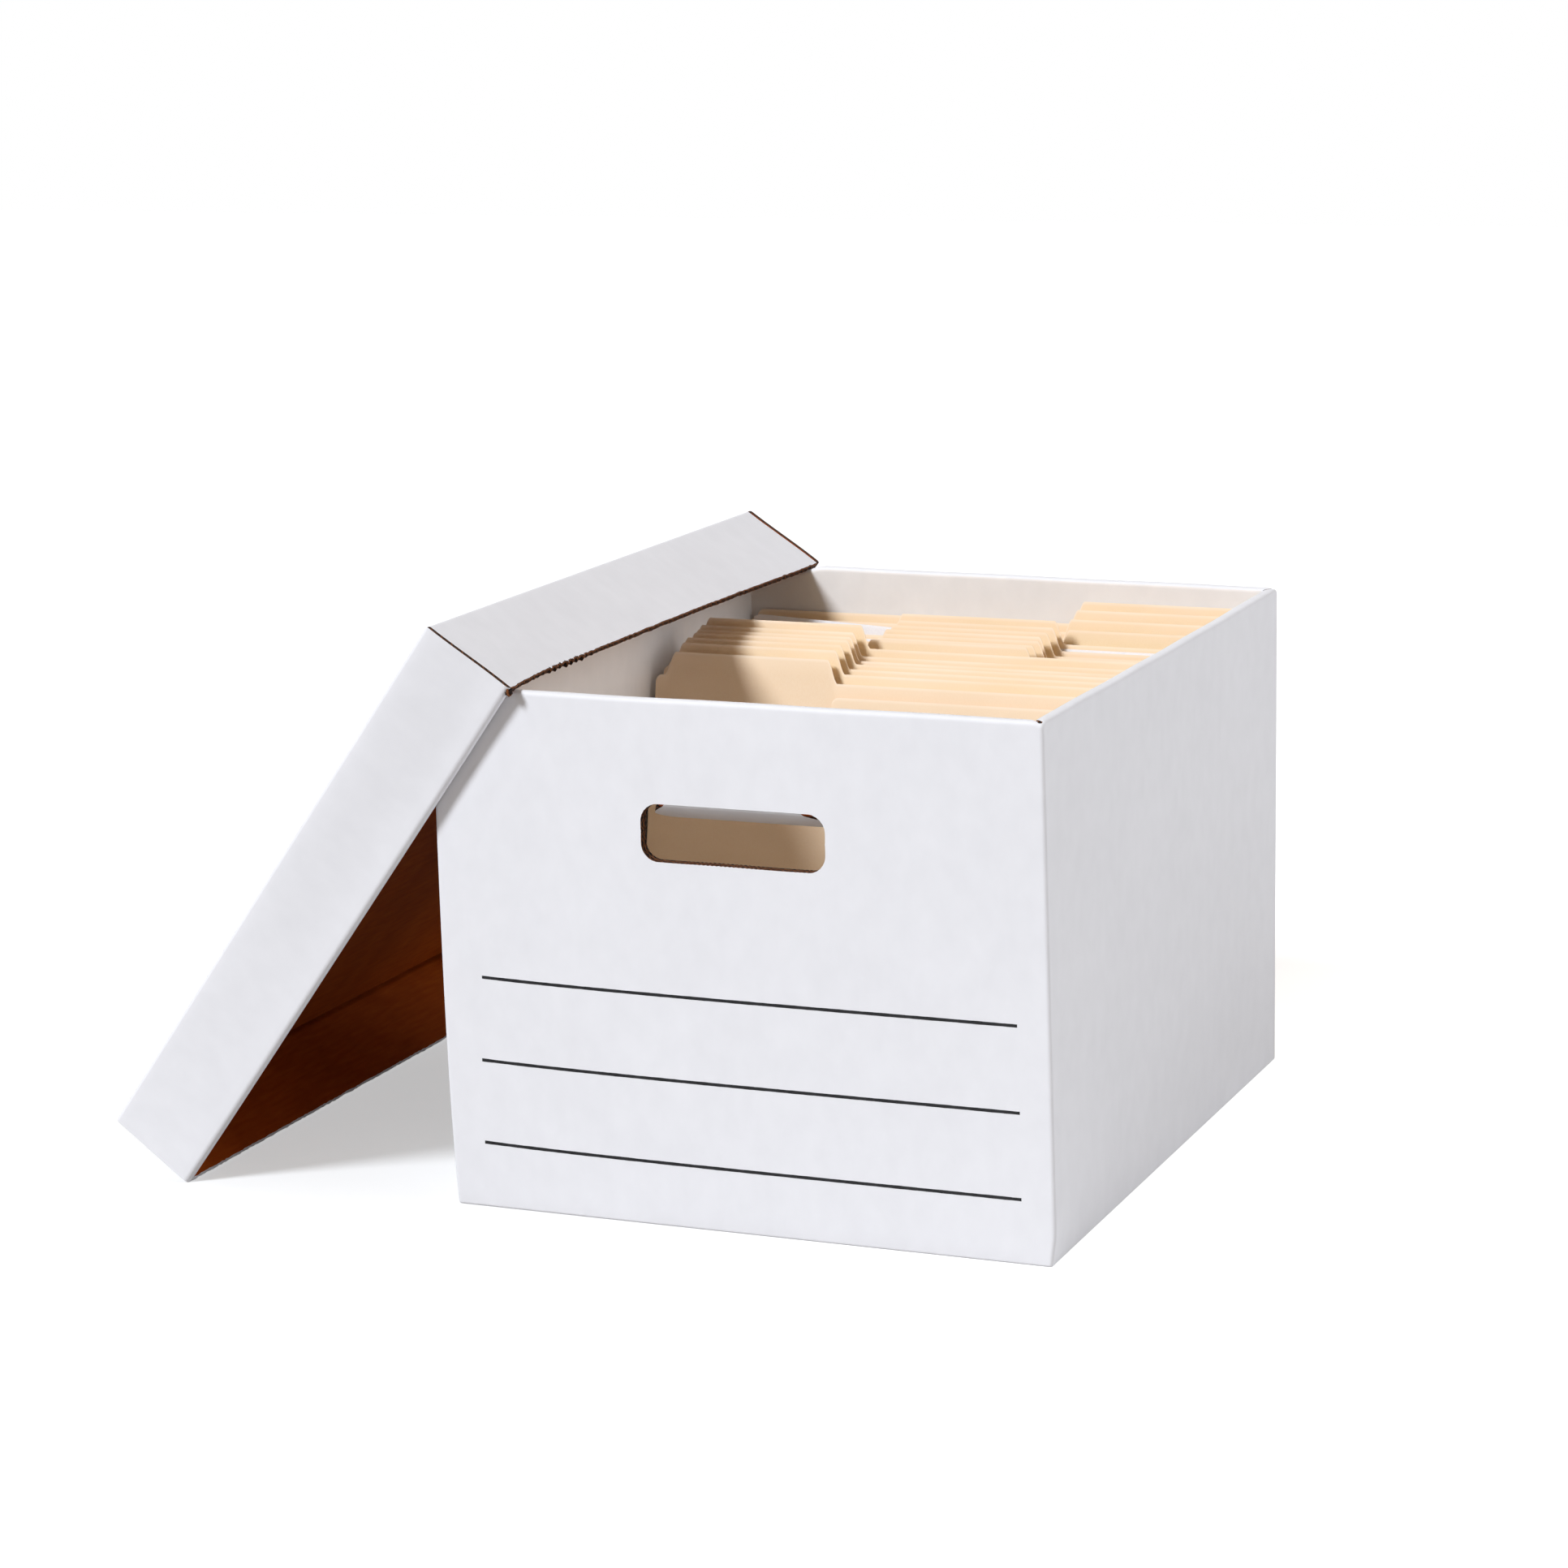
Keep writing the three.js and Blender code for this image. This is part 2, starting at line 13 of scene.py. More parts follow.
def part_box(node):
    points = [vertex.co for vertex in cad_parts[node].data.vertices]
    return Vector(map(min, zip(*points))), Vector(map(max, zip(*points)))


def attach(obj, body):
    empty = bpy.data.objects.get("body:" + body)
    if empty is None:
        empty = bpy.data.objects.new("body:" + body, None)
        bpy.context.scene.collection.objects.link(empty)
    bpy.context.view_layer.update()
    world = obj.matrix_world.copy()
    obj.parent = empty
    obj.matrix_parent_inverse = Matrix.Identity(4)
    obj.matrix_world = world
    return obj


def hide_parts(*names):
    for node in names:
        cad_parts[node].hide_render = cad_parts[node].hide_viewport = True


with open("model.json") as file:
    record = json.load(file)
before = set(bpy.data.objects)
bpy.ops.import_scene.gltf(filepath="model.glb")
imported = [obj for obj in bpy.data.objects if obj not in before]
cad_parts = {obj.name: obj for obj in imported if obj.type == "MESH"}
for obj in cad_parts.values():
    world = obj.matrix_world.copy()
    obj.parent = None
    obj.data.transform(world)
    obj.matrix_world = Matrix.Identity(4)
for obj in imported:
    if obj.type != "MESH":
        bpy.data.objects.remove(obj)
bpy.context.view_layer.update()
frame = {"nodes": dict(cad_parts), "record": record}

MM = 0.001

# ------------------------------------------------------------------ sizes

BOARD = 3.0                      # corrugated board
GAP = 0.3                        # between two layers of board
FOLDED = 2 * BOARD + GAP
FLUTE_PITCH = 6.4

box_low = np.array(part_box("left_wall")[0]) / MM
box_high = np.array(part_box("right_wall")[1]) / MM
HALF_W = (box_high[0] - box_low[0]) / 2
HALF_D = (box_high[1] - box_low[1]) / 2
HEIGHT = box_high[2] - box_low[2]
CREASE_RADIUS = 1.9              # upright corners of the box
BASE_RADIUS = 1.5

# The front end has been pushed sideways: its left corner's shift and the height over which that
# grows, and the right corner's at its foot and its top.
RACKED = {"left": -5.4, "base": 70.0, "right_foot": 1.9, "right_top": -3.1, "foot_fade": 18.0}
# The back rim stands up at its left and right end, from clear of the lid's skirt on.
BACK_RISE = {"left": 3.4, "right": 2.2, "from": -122.0, "over": 14.0, "above": 60.0}
WALL_BOW = {"depth": 0.9, "power": 0.8}
RIM_DIP = {"from": 9.0, "full": 1.0, "corner": 0.8, "corner_width": 1.7,
           "wave": 0.25, "wave_length": 31.0, "wave_start": 1.3}
# Where two rims meet, the fold is notched and shows its cut edge.
NOTCH = {"half_width": 1.5, "outer": 1.2, "inner": 5.4, "down": 8.0}

HOLE = {"width": 97.0, "height": 29.0, "radius": 9.0, "offset_x": -3.0, "centre_z": 200.5}
HOLE_DEPTHS = (-2.0, 0, 1.5, 3, 3.3, 4.8, 6.3, 9.0)       # cut from before the wall to behind it
NICKS = {"depth": 0.3, "pitch": 2.3, "steady": 0.55, "swell_length": 9.0, "crease_fade": 1.0}
TAB_ANGLE = 64.0                 # the front tab stays pushed in
TAB_SLACK = 0.6
TAB_BEND = {"from": -0.8, "to": 2.6, "curl": 0.0016}      # down from the crease
TAB_SEAM = {"pushed_in": 0.12, "flush": 0.35}             # gap along the crease
# The pushed-in tab's drawn-in shoulders, and the board's share of its thickness at the crease.
CRUSH = {"inset": 12.0, "depth": 14.0, "thinnest": 0.02, "thin_to": 1.8, "full_from": 10.8}

LID = {"width": 331.0, "depth": 411.0, "height": 51.4, "hem": 7.0, "tab": 60.0, "crease": 2.0}
PANEL_ENDS = (-0.6, -0.9)        # the lid board's cut ends, along y from the end skirts' inside
LINER_SEAM = 0.05                # between a rolled-over edge and its narrower liner
SKEW = {"upper": 4.0, "foot": -1.4, "front_middle": 2.0, "back_middle": 0.8}   # of free edges, along y
# The upper skirt's edge is pushed up and in: it rises and falls between places from the front.
ARCH = {"rise": (-8.0, 60.0), "fall": (220.0, 415.0), "dip": 0.28, "dip_width": 12.0,
        "lift": 2.4, "inward": 0.6}
LOWER_BOW = 0.5                  # of the lower skirt's edge
SINK = {"depth": 1.1, "past_end": 4.0}                    # of the top panel's middle
TEAR = {"ragged": 0.16, "samples": 190, "fade": 4.0}      # of both cut edges
TORN = {"depth": 1.3, "swing": 0.4, "swing_length": 2.7, "bluntness": 0.7,
        "centre": 72.0, "half_width": 27.0,               # the torn stretch, from the front
        "bare": 0.7}             # the white paper is gone this far below the edge
PINCH = {"depth": 2.8, "width": 1.35, "reach": 5.0}       # crushed inside of the lid's long creases
# Torn flute at the upper skirt's corner, with its lumps: turns round it, slant and height.
CRUMPLE = {"centre": (163.0, -203.3, -51.9), "radius": 1.9,
           "lumps": ((3, 4, 0.2), (5, -7, 0.14)), "pattern": (6.0, 3.0)}
lid_mount = next(m for m in frame["record"]["mounts"] if m["name"] == "lid_top")
LID_ORIGIN = np.array(lid_mount["pos_m"]) / MM
LID_UP = np.array(lid_mount["axis"])
LID_AXES = np.array([[LID_UP[2], 0, -LID_UP[0]], [0, 1, 0], LID_UP])   # rows: x', y', z'

LEAF = {"width": 298.0, "thickness": 0.42, "drop": 12.7, "corner": 4.0,
        "front_drop": 7.3, "front_spread": 1.5}
TAB = {"width": 92.0, "shoulder": 9.0, "from_end": 10.0, "slope": (-1.5, 4.95)}
UNDERCUT = {"depth": 14.0, "margin": {-1: 1.6, 1: 3.4}}   # of a front leaf, below the tab
FOLD_HALF = 1.9                  # half the outside thickness of a folder
PIVOT_Z = 8.5
# Limits of each leaf's ripple, and the share of its height from which it grows.
RIPPLE = {"phase": (0, 6.28), "waves": (0.6, 1.4), "amount": (0.25, 0.6), "from": 0.25}
CARD_APART = 400.0               # between the places of two folders in the card's pattern
SHEET = {"width": 279.4, "height": 215.9, "thickness": 0.12, "slip": 1.2, "stray": 0.4,
         "pitch": 0.42, "count": 3, "curl": 0.18, "curl_length": 60.0}

# Tab position, place (y, z) of the tab's top edge, lean in degrees, sideways shift.
FOLDERS = [
    ("left", 50, 243.2, 9.2, -2.4),
    ("left", 57, 247.2, 9.0, -0.8),
    ("left", 63.4, 249, 8.8, -0.6),
    ("left", 69.8, 250.6, 8.6, 0.8),
    ("left", 76.6, 251.2, 8.3, 0),
    ("left", 83.4, 252.6, 8.0, -0.8),
    ("left", 90.6, 255.6, 7.7, 1),
    ("centre", 101, 246, 7.3, -0.4),
    ("centre", 109, 245.6, 7.0, 0.6),
    ("centre", 117, 246.6, 6.7, 1.3),
    ("centre", 125, 247.6, 6.4, -0.7),
    ("centre", 133.2, 248.6, 6.1, 0.4),
    ("centre", 141.2, 250, 5.8, 1),
    ("centre", 149, 252.4, 5.5, 0),
    ("right", 162, 245.4, 5.1, 0.5),
    ("right", 170, 250, 4.9, -0.6),
    ("right", 178, 254, 4.7, 0.3),
    ("right", 186, 257.4, 4.5, 1.4),
]

# Loose sheets by folder number: sideways shift, how far they have been drawn up, and their
# tilt in degrees, left end up.
STACKS = {
    2: (-9.3, 0, 0), 4: (0, 0, 0), 7: (2, 0, 0), 9: (0, 0, 0),
    12: (0, 0, 0), 14: (0, 12.9, 0), 15: (-5.3, 14.9, 2.7), 16: (0, 0, 0),
}

# Each printed line's height, left end and right end. A line is a little higher at its left end.
RULED_LINES = ((118.9, -141.0, 142.0), (75.9, -142.5, 143.0), (32.9, -142.5, 143.5))
INK_FILM = {"width": 1.6, "uneven": 0.08, "waves": (3.7, 1.9), "proud": 0.06, "thickness": 0.05,
            "left_rise": 1.35, "rise_over": 42.0, "drop": 0.15}

# Two large sources, each with its direction, strength, colour and how wide its penumbra is in
# degrees, and a weaker, warmer light from all round.
LIGHTS = {
    "key": ((-0.39, -0.67, 0.63), 3.24, "#F2F8FF", 15.5),
    "fill": ((0.93, 0.3, 0.2), 2.03, "#EEF6FF", 70.0),
}
SKY = {"strength": 0.262, "colour": "#FFE6CA"}
# The floor's blend from left to right and its half size are in metres. Its shown colour and glow rise
# towards the right: painted light that washes out the box's cast shadow on that side.
FLOOR = {"bounce": "#BAB8B6", "shown_left": "#CFCFCF", "shown_right": "#FFFFFF",
         "glow": (0.97, 0.99, 1.0, 1.0), "glow_left": 0.49, "glow_right": 0.67,
         "blend": (-0.1, 0.15), "half_size": 6.0}

# The photograph's view: angles in degrees, place in millimetres, focal length in pixels.
CAMERA = {"yaw": 22.5, "pitch": 11.88, "roll": -1.13, "place": (783.45, -2027.46, 646.24),
          "focal_px": 5198.74, "photo_px": 1932, "sensor": 36.0, "sees_to": 20.0}

SEEDS = {"lid_edges": 4, "folders": 19}

# ------------------------------------------------------------------ node trees

MIX_A, MIX_B, MIXED = 6, 7, 2    # colour sockets of a Mix node
MIDDLE = {"From Min": 0.3, "From Max": 0.7}               # of a noise, where nearly all of it lies
WAVE_BANDS = 20                  # a Wave node's bands are 2 pi / 20 apart at scale 1


def linear(hex_colour):
    """sRGB hex to linear RGBA."""
    channels = [int(hex_colour[i:i + 2], 16) / 255 for i in (1, 3, 5)]
    return [c / 12.92 if c <= 0.04045 else ((c + 0.055) / 1.055) ** 2.4 for c in channels] + [1.0]


def add(tree, kind, inputs=None, **settings):
    """Adds a node, sets it and links its inputs. A node among them stands for its first output."""
    node = tree.nodes.new(kind)
    for key, value in settings.items():
        setattr(node, key, value)
    for socket, value in (inputs or {}).items():
        if isinstance(value, bpy.types.Node):
            value = value.outputs[0]
        if isinstance(value, bpy.types.NodeSocket):
            tree.links.new(value, node.inputs[socket])
        else:
            node.inputs[socket].default_value = value
    return node


def new_material(name):
    material = bpy.data.materials.new(name)
    material.use_nodes = True
    material.node_tree.nodes.clear()
    return material, material.node_tree


def unevenness(tree, place, size_mm, stretch=(1, 1, 1), detail=3.0, roughness=0.5):
    """What makes paper uneven, fibres, clouds or felt marks: a noise whose lumps are about
    size_mm across, drawn out by stretch."""
    scale = [1 / (size_mm * MM * s) for s in stretch]
    mapped = add(tree, "ShaderNodeMapping", {"Vector": place, "Scale": scale})
    return add(tree, "ShaderNodeTexNoise", {
        "Vector": mapped, "Scale": 1.0, "Detail": detail, "Roughness": roughness})


def mottled(tree, lumps, first, second, most=1.0):
    """Colour that goes from first to second, at most by a share, with the middle of a noise."""
    share = add(tree, "ShaderNodeMapRange", {"Value": lumps, **MIDDLE, "To Max": most})
    mixed = add(tree, "ShaderNodeMix", {"Factor": share, MIX_A: first, MIX_B: second}, data_type="RGBA")
    return mixed.outputs[MIXED]


def finish_surface(tree, colour, height, depth_mm, roughness, specular):
    """Principled surface with a bump of the given depth."""
    bump = add(tree, "ShaderNodeBump", {"Height": height, "Distance": depth_mm * MM, "Strength": 1.0})
    shader = add(tree, "ShaderNodeBsdfPrincipled", {
        "Base Color": colour, "Roughness": roughness, "Normal": bump,
        "Specular IOR Level": specular, "IOR": 1.5})
    add(tree, "ShaderNodeOutputMaterial", {"Surface": shader})


def coated_linerboard(name, pale, dark, pattern_on="UV"):
    """White clay-coated linerboard, calendered: matt, slightly mottled where brown fibre shows
    through, with the washboard of the flutes under it and a fine felt grain."""
    material, tree = new_material(name)
    place = add(tree, "ShaderNodeTexCoord").outputs[pattern_on]
    mottle = unevenness(tree, place, size_mm=11, stretch=(1, 1.5, 1), detail=4)
    clouds = unevenness(tree, place, size_mm=55, detail=2)
    felt = unevenness(tree, place, size_mm=1.1, stretch=(1, 3, 1), detail=3)
    fine = add(tree, "ShaderNodeMapRange", {"Value": mottle, **MIDDLE, "To Max": 0.6})
    coarse = add(tree, "ShaderNodeMapRange", {"Value": clouds, **MIDDLE, "To Max": 0.4})
    blend = add(tree, "ShaderNodeMath", {0: fine, 1: coarse}, operation="ADD")
    colour = add(tree, "ShaderNodeMix", {
        "Factor": blend, MIX_A: linear(dark), MIX_B: linear(pale)}, data_type="RGBA").outputs[MIXED]
    flutes = add(tree, "ShaderNodeTexWave", {
        "Vector": place, "Scale": 2 * math.pi / (WAVE_BANDS * FLUTE_PITCH * MM), "Distortion": 0.0},
        wave_type="BANDS", bands_direction="X", wave_profile="SIN")
    height = add(tree, "ShaderNodeMath", {0: felt, 1: 0.5}, operation="MULTIPLY")
    for part, share in ((flutes.outputs[1], 0.35), (mottle, 0.5)):
        height = add(tree, "ShaderNodeMath", {0: part, 1: share, 2: height}, operation="MULTIPLY_ADD")
    finish_surface(tree, colour, height, depth_mm=0.035, roughness=0.58, specular=0.35)
    return material


def kraft_liner(name):
    """Unbleached kraft liner: brown, matt, with darker fibre streaks along the machine direction."""
    material, tree = new_material(name)
    place = add(tree, "ShaderNodeTexCoord").outputs["UV"]
    streaks = unevenness(tree, place, size_mm=2.5, stretch=(9, 1, 1), detail=5)
    clouds = unevenness(tree, place, size_mm=30, detail=3)
    colour = mottled(tree, streaks, linear("#AA4D12"), linear("#B85B1A"))
    colour = mottled(tree, clouds, colour, linear("#863406"), most=0.35)
    finish_surface(tree, colour, streaks, depth_mm=0.04, roughness=0.8, specular=0.08)
    return material


def cut_corrugated(name, across_flutes):
    """Cut edge of corrugated board: two brown liner papers with the wavy medium between them, a triangle
    wave where the cut runs across the flutes. Where no paper is, the hollow flutes are painted near-black,
    painted shade for the dark inside of the open flutes. UV runs along the edge and across the board, in
    metres."""
    material, tree = new_material(name)
    place = add(tree, "ShaderNodeTexCoord").outputs["UV"]
    axes = add(tree, "ShaderNodeSeparateXYZ", {"Vector": place})
    depth = add(tree, "ShaderNodeMath", {0: axes.outputs["Y"], 1: (BOARD + GAP) * MM}, operation="MODULO")
    depth = add(tree, "ShaderNodeMath", {0: depth, 1: BOARD * MM}, operation="DIVIDE")
    if across_flutes:
        half_wave = FLUTE_PITCH / 2 * MM
        swing = add(tree, "ShaderNodeMath", {0: axes.outputs["X"], 1: half_wave}, operation="PINGPONG")
        swing = add(tree, "ShaderNodeMath", {0: swing, 1: half_wave}, operation="DIVIDE")
    else:
        swing = unevenness(tree, place, size_mm=14, detail=1)
    from_medium = add(tree, "ShaderNodeMath", {0: depth, 1: swing}, operation="SUBTRACT")
    from_medium = add(tree, "ShaderNodeMath", {0: from_medium}, operation="ABSOLUTE")
    medium = add(tree, "ShaderNodeMapRange", {
        "Value": from_medium, "From Min": 0.07, "From Max": 0.22, "To Min": 1.0, "To Max": 0.0})
    from_middle = add(tree, "ShaderNodeMath", {0: depth, 1: 0.5}, operation="SUBTRACT")
    from_middle = add(tree, "ShaderNodeMath", {0: from_middle}, operation="ABSOLUTE")
    liners = add(tree, "ShaderNodeMapRange", {"Value": from_middle, "From Min": 0.38, "From Max": 0.44})
    paper = add(tree, "ShaderNodeMath", {0: medium, 1: liners}, operation="MAXIMUM")
    fibre = unevenness(tree, place, size_mm=0.8, detail=3)
    brown = mottled(tree, fibre, linear("#5F341A"), linear("#8A5632"))
    # painted shade: the near-black where no paper is stands for the dark hollows of the open flutes
    colour = add(tree, "ShaderNodeMix", {
        "Factor": paper, MIX_A: linear("#140803"), MIX_B: brown}, data_type="RGBA").outputs[MIXED]
    finish_surface(tree, colour, paper, depth_mm=0.5, roughness=0.85, specular=0.2)
    return material


def manila_card(name, plain, flecked, clouded):
    """Manila card: smooth, warm buff stock with a faint fibre fleck. UV v is the distance below the cut
    edge. The card is painted paler near that edge, patchily by a broad noise: painted light for light that
    comes through the card, which leaves the card darker further down as painted shade between the leaves."""
    material, tree = new_material(name)
    place = add(tree, "ShaderNodeTexCoord").outputs["UV"]
    fleck = unevenness(tree, place, size_mm=0.9, stretch=(1, 2, 1), detail=4, roughness=0.65)
    clouds = unevenness(tree, place, size_mm=24, detail=2)
    glow = unevenness(tree, place, size_mm=70, detail=1)
    glow = add(tree, "ShaderNodeMapRange", {"Value": glow, **MIDDLE, "To Min": 0.35, "To Max": 0.9})
    colour = mottled(tree, fleck, linear(plain), linear(flecked))
    colour = mottled(tree, clouds, colour, linear(clouded), most=0.3)
    below = add(tree, "ShaderNodeSeparateXYZ", {"Vector": place}).outputs["Y"]
    # painted light: two pale bands just below the cut edge; the darker card further down stands for the
    # shade between the leaves
    for start_mm, stop_mm, pale in ((1.0, 11.0, "#FAE1C2"), (0.5, 2.0, "#FFECD6")):
        near = add(tree, "ShaderNodeMapRange", {
            "Value": below, "From Min": start_mm * MM, "From Max": stop_mm * MM,
            "To Min": 1.0, "To Max": 0.0}, interpolation_type="SMOOTHSTEP")
        painted_edge_light = add(tree, "ShaderNodeMath", {0: near, 1: glow}, operation="MULTIPLY")
        colour = add(tree, "ShaderNodeMix", {
            "Factor": painted_edge_light, MIX_A: colour, MIX_B: linear(pale)}, data_type="RGBA").outputs[MIXED]
    finish_surface(tree, colour, fleck, depth_mm=0.02, roughness=0.5, specular=0.35)
    return material


def bond_paper(name):
    """White bond paper, uncoated: matt, with fibre that barely shows."""
    material, tree = new_material(name)
    place = add(tree, "ShaderNodeTexCoord").outputs["UV"]
    fibre = unevenness(tree, place, size_mm=1.5, detail=3)
    colour = mottled(tree, fibre, linear("#EFECEE"), linear("#F6F3F4"))
    finish_surface(tree, colour, fibre, depth_mm=0.01, roughness=0.7, specular=0.2)
    return material


def printing_ink(name):
    """Black flexo ink, matt, thin enough that the board's mottle breaks it up a little."""
    material, tree = new_material(name)
    place = add(tree, "ShaderNodeTexCoord").outputs["Object"]
    speckle = unevenness(tree, place, size_mm=1.2, detail=3)
    colour = mottled(tree, speckle, linear("#08080A"), linear("#141417"), most=0.5)
    finish_surface(tree, colour, speckle, depth_mm=0.01, roughness=0.6, specular=0.3)
    return material


WHITE = coated_linerboard("clay_coated_linerboard", "#EAEAEE", "#E4E4E8")
WHITE_FLAT = coated_linerboard("clay_coated_linerboard_flat", "#EAEAEE", "#E4E4E8", "Object")
INNER = coated_linerboard("clay_coated_linerboard_inside", "#ECE8E5", "#E5E1DE")
INNER_FLAT = coated_linerboard("clay_coated_linerboard_inside_flat", "#ECE8E5", "#E5E1DE", "Object")
KRAFT = kraft_liner("kraft_liner")
CUT_ACROSS = cut_corrugated("corrugated_cut_across_flutes", True)
CUT_ALONG = cut_corrugated("corrugated_cut_along_flutes", False)
# Finishes of a board, in the order of their places below.
WHITE_INSIDE = [WHITE, INNER, CUT_ACROSS, CUT_ALONG]
KRAFT_INSIDE = [WHITE, KRAFT, CUT_ACROSS, CUT_ALONG]
MANILA_OPEN = manila_card("manila_card_open", "#F2D6B4", "#F5DCBE", "#EFD1AC")
MANILA_PACKED = manila_card("manila_card_packed", "#F3D8AD", "#F6DFB9", "#F0D4A8")
PAPER = bond_paper("bond_paper")
INK = printing_ink("flexo_ink")

# ------------------------------------------------------------------ meshes

# Places of a board's finishes in its piece: outside, inside, and edges cut across and along flutes.
OUTSIDE, INSIDE, ACROSS, ALONG = range(4)
SHARP = 40.0                     # degrees; an edge that turns more isn't smoothed
WELD = 2e-6                      # metres; points closer than this are one
HAIR = 1e-3                      # millimetres, for telling two depths apart


def smoothstep(low, high, value):
    """Cubic step from 0 at low to 1 at high."""
    t = np.clip((value - low) / (high - low), 0, 1)
    return t * t * (3 - 2 * t)


def patch(points, along, across, finish):
    """A grid of points (rows, columns, 3) with its UV: along runs with the columns and across
    with the rows, both in millimetres, as lists or full grids."""
    rows, columns = points.shape[:2]
    along = np.broadcast_to(np.asarray(along, float), (rows, columns))
    across = np.asarray(across, float)
    across = np.broadcast_to(across[:, None] if across.ndim == 1 else across, (rows, columns))
    return {"points": points, "uv": np.stack([along, across], -1), "finish": finish}


def make_piece(name, patches, finishes, body, nodes=()):
    """Joins patches into one closed mesh with its place in its points."""
    points, uvs, quads, marks = [], [], [], []
    start = 0
    for part in patches:
        rows, columns = part["points"].shape[:2]
        number = np.arange(rows * columns).reshape(rows, columns) + start
        corners = [number[:-1, :-1], number[:-1, 1:], number[1:, 1:], number[1:, :-1]]
        quads.append(np.stack(corners, -1).reshape(-1, 4))
        marks.append(np.broadcast_to(part["finish"], (rows - 1, columns - 1)).reshape(-1))
        points.append(part["points"].reshape(-1, 3))
        uvs.append(part["uv"].reshape(-1, 2))
        start += rows * columns
    points, uvs, quads = np.concatenate(points), np.concatenate(uvs), np.concatenate(quads)
    mesh = bpy.data.meshes.new(name)
    mesh.from_pydata((points * MM).tolist(), [], quads.tolist())
    mesh.uv_layers.new(name="sheet").data.foreach_set("uv", (uvs[quads.reshape(-1)] * MM).ravel())
    mesh.polygons.foreach_set("material_index", np.concatenate(marks).astype(np.int32))
    for finish in finishes:
        mesh.materials.append(finish)
    work = bmesh.new()
    work.from_mesh(mesh)
    bmesh.ops.remove_doubles(work, verts=work.verts, dist=WELD)
    bmesh.ops.recalc_face_normals(work, faces=work.faces)
    for face in work.faces:
        face.smooth = True
    work.to_mesh(mesh)
    work.free()
    mesh.set_sharp_from_angle(angle=math.radians(SHARP))
    piece = bpy.data.objects.new(name, mesh)
    bpy.context.scene.collection.objects.link(piece)
    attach(piece, body)
    if nodes:
        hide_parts(*nodes)
    return piece


def lengths(points):
    """Distance walked along a row of points."""
    steps = np.linalg.norm(np.diff(points, axis=0), axis=1)
    return np.concatenate([[0], np.cumsum(steps)])


def thick_sheet(outer, inner, along, across, thickness, finishes, closed=False):
    """Patches of a sheet between two grids: its two faces, its two cut ends (first and last
    row) and, unless it is closed on itself, its two cut sides (first and last column)."""
    face, back, end, side = finishes
    skin = [patch(outer, along, across, face), patch(inner, along, across, back)]
    for row in (0, -1):
        strip = np.stack([outer[row], inner[row]])
        skin.append(patch(strip, along, [0, thickness], end))
    if not closed:
        down = np.asarray(across, float)
        down = np.broadcast_to(down if down.ndim == 2 else down[:, None], outer.shape[:2])
        for column in (0, -1):
            strip = np.stack([outer[:, column], inner[:, column]])
            skin.append(patch(strip, down[:, column], [0, thickness], side))
    return skin


def straight(first, last, inner_first, inner_last, count):
    """A flat stretch of board as (outer, inner) points of its section."""
    t = np.linspace(0, 1, count)[:, None]
    first, last, inner_first, inner_last = map(np.array, (first, last, inner_first, inner_last))
    return first + (last - first) * t, inner_first + (inner_last - inner_first) * t


def bend(centre, outer_radius, inner_radius, start, stop, count, squareness=2.0):
    """A fold in the board: superellipse arcs about a centre, angles in degrees."""
    angle = np.radians(np.linspace(start, stop, count))
    cosine, sine = np.cos(angle), np.sin(angle)
    size = (np.abs(cosine) ** squareness + np.abs(sine) ** squareness) ** (-1 / squareness)
    ring = np.stack([cosine * size, sine * size], -1)
    return np.array(centre) + outer_radius * ring, np.array(centre) + inner_radius * ring


def crease(centre, radius, corner, start, stop, count):
    """A creased edge: a small outer arc round a crushed inner corner."""
    outer, _ = bend(centre, radius, 0, start, stop, count)
    return outer, np.tile(np.array(corner, float), (count, 1))


def section(*stretches):
    """Joins stretches into one section, without repeated points."""
    outer = np.concatenate([s[0] for s in stretches])
    inner = np.concatenate([s[1] for s in stretches])
    fresh = np.concatenate([[True], np.linalg.norm(np.diff(outer, axis=0), axis=1) > 1e-6])
    return outer[fresh], inner[fresh]


# ------------------------------------------------------------------ box


def wall_section():
    """Depth from the outer face and height: up the outside, over the rim and down the inside."""
    top = HEIGHT - FOLDED / 2
    foot = (bend((BASE_RADIUS, BASE_RADIUS), BASE_RADIUS, 0, 270, 180, 6)[0],
            straight((0, 0), (0, 0), (BOARD, 0), (BOARD, BASE_RADIUS), 6)[1])
    return section(
        foot,
        straight((0, BASE_RADIUS), (0, top), (BOARD, BASE_RADIUS), (BOARD, top), 40),
        bend((FOLDED / 2, top), FOLDED / 2, GAP / 2, 180, 0, 17, squareness=3.2),
        straight((FOLDED, top), (FOLDED, BOARD + GAP), (BOARD + GAP, top), (BOARD + GAP, BOARD + GAP), 36))


def walk_round(per_side, per_corner, crowding):
    """Stations round a rectangle: place as multiples of its half sizes, outward normal, and
    distance from the nearest corner as a share of the side. A sine of the walked share, times
    the crowding, draws the stations towards the corners."""
    places, normals, shares = [], [], []
    corners = np.array([(-1, -1), (1, -1), (1, 1), (-1, 1)], float)
    for side in range(4):
        first, last = corners[side], corners[(side + 1) % 4]
        t = np.linspace(0, 1, per_side)
        t = t - crowding * np.sin(2 * np.pi * t)
        places.append(first + (last - first) * t[:, None])
        angle = np.full(per_side, -90.0 + 90 * side)
        turn = np.linspace(angle[0], angle[0] + 90, per_corner + 2)[1:-1]
        places.append(np.tile(last, (per_corner, 1)))
        angle = np.radians(np.concatenate([angle, turn]))
        normals.append(np.stack([np.cos(angle), np.sin(angle)], -1))
        shares.append(np.concatenate([np.minimum(t, 1 - t), np.zeros(per_corner)]))
    stations = [np.concatenate(rows) for rows in (places, normals, shares)]
    return [np.concatenate([rows, rows[:1]]) for rows in stations]


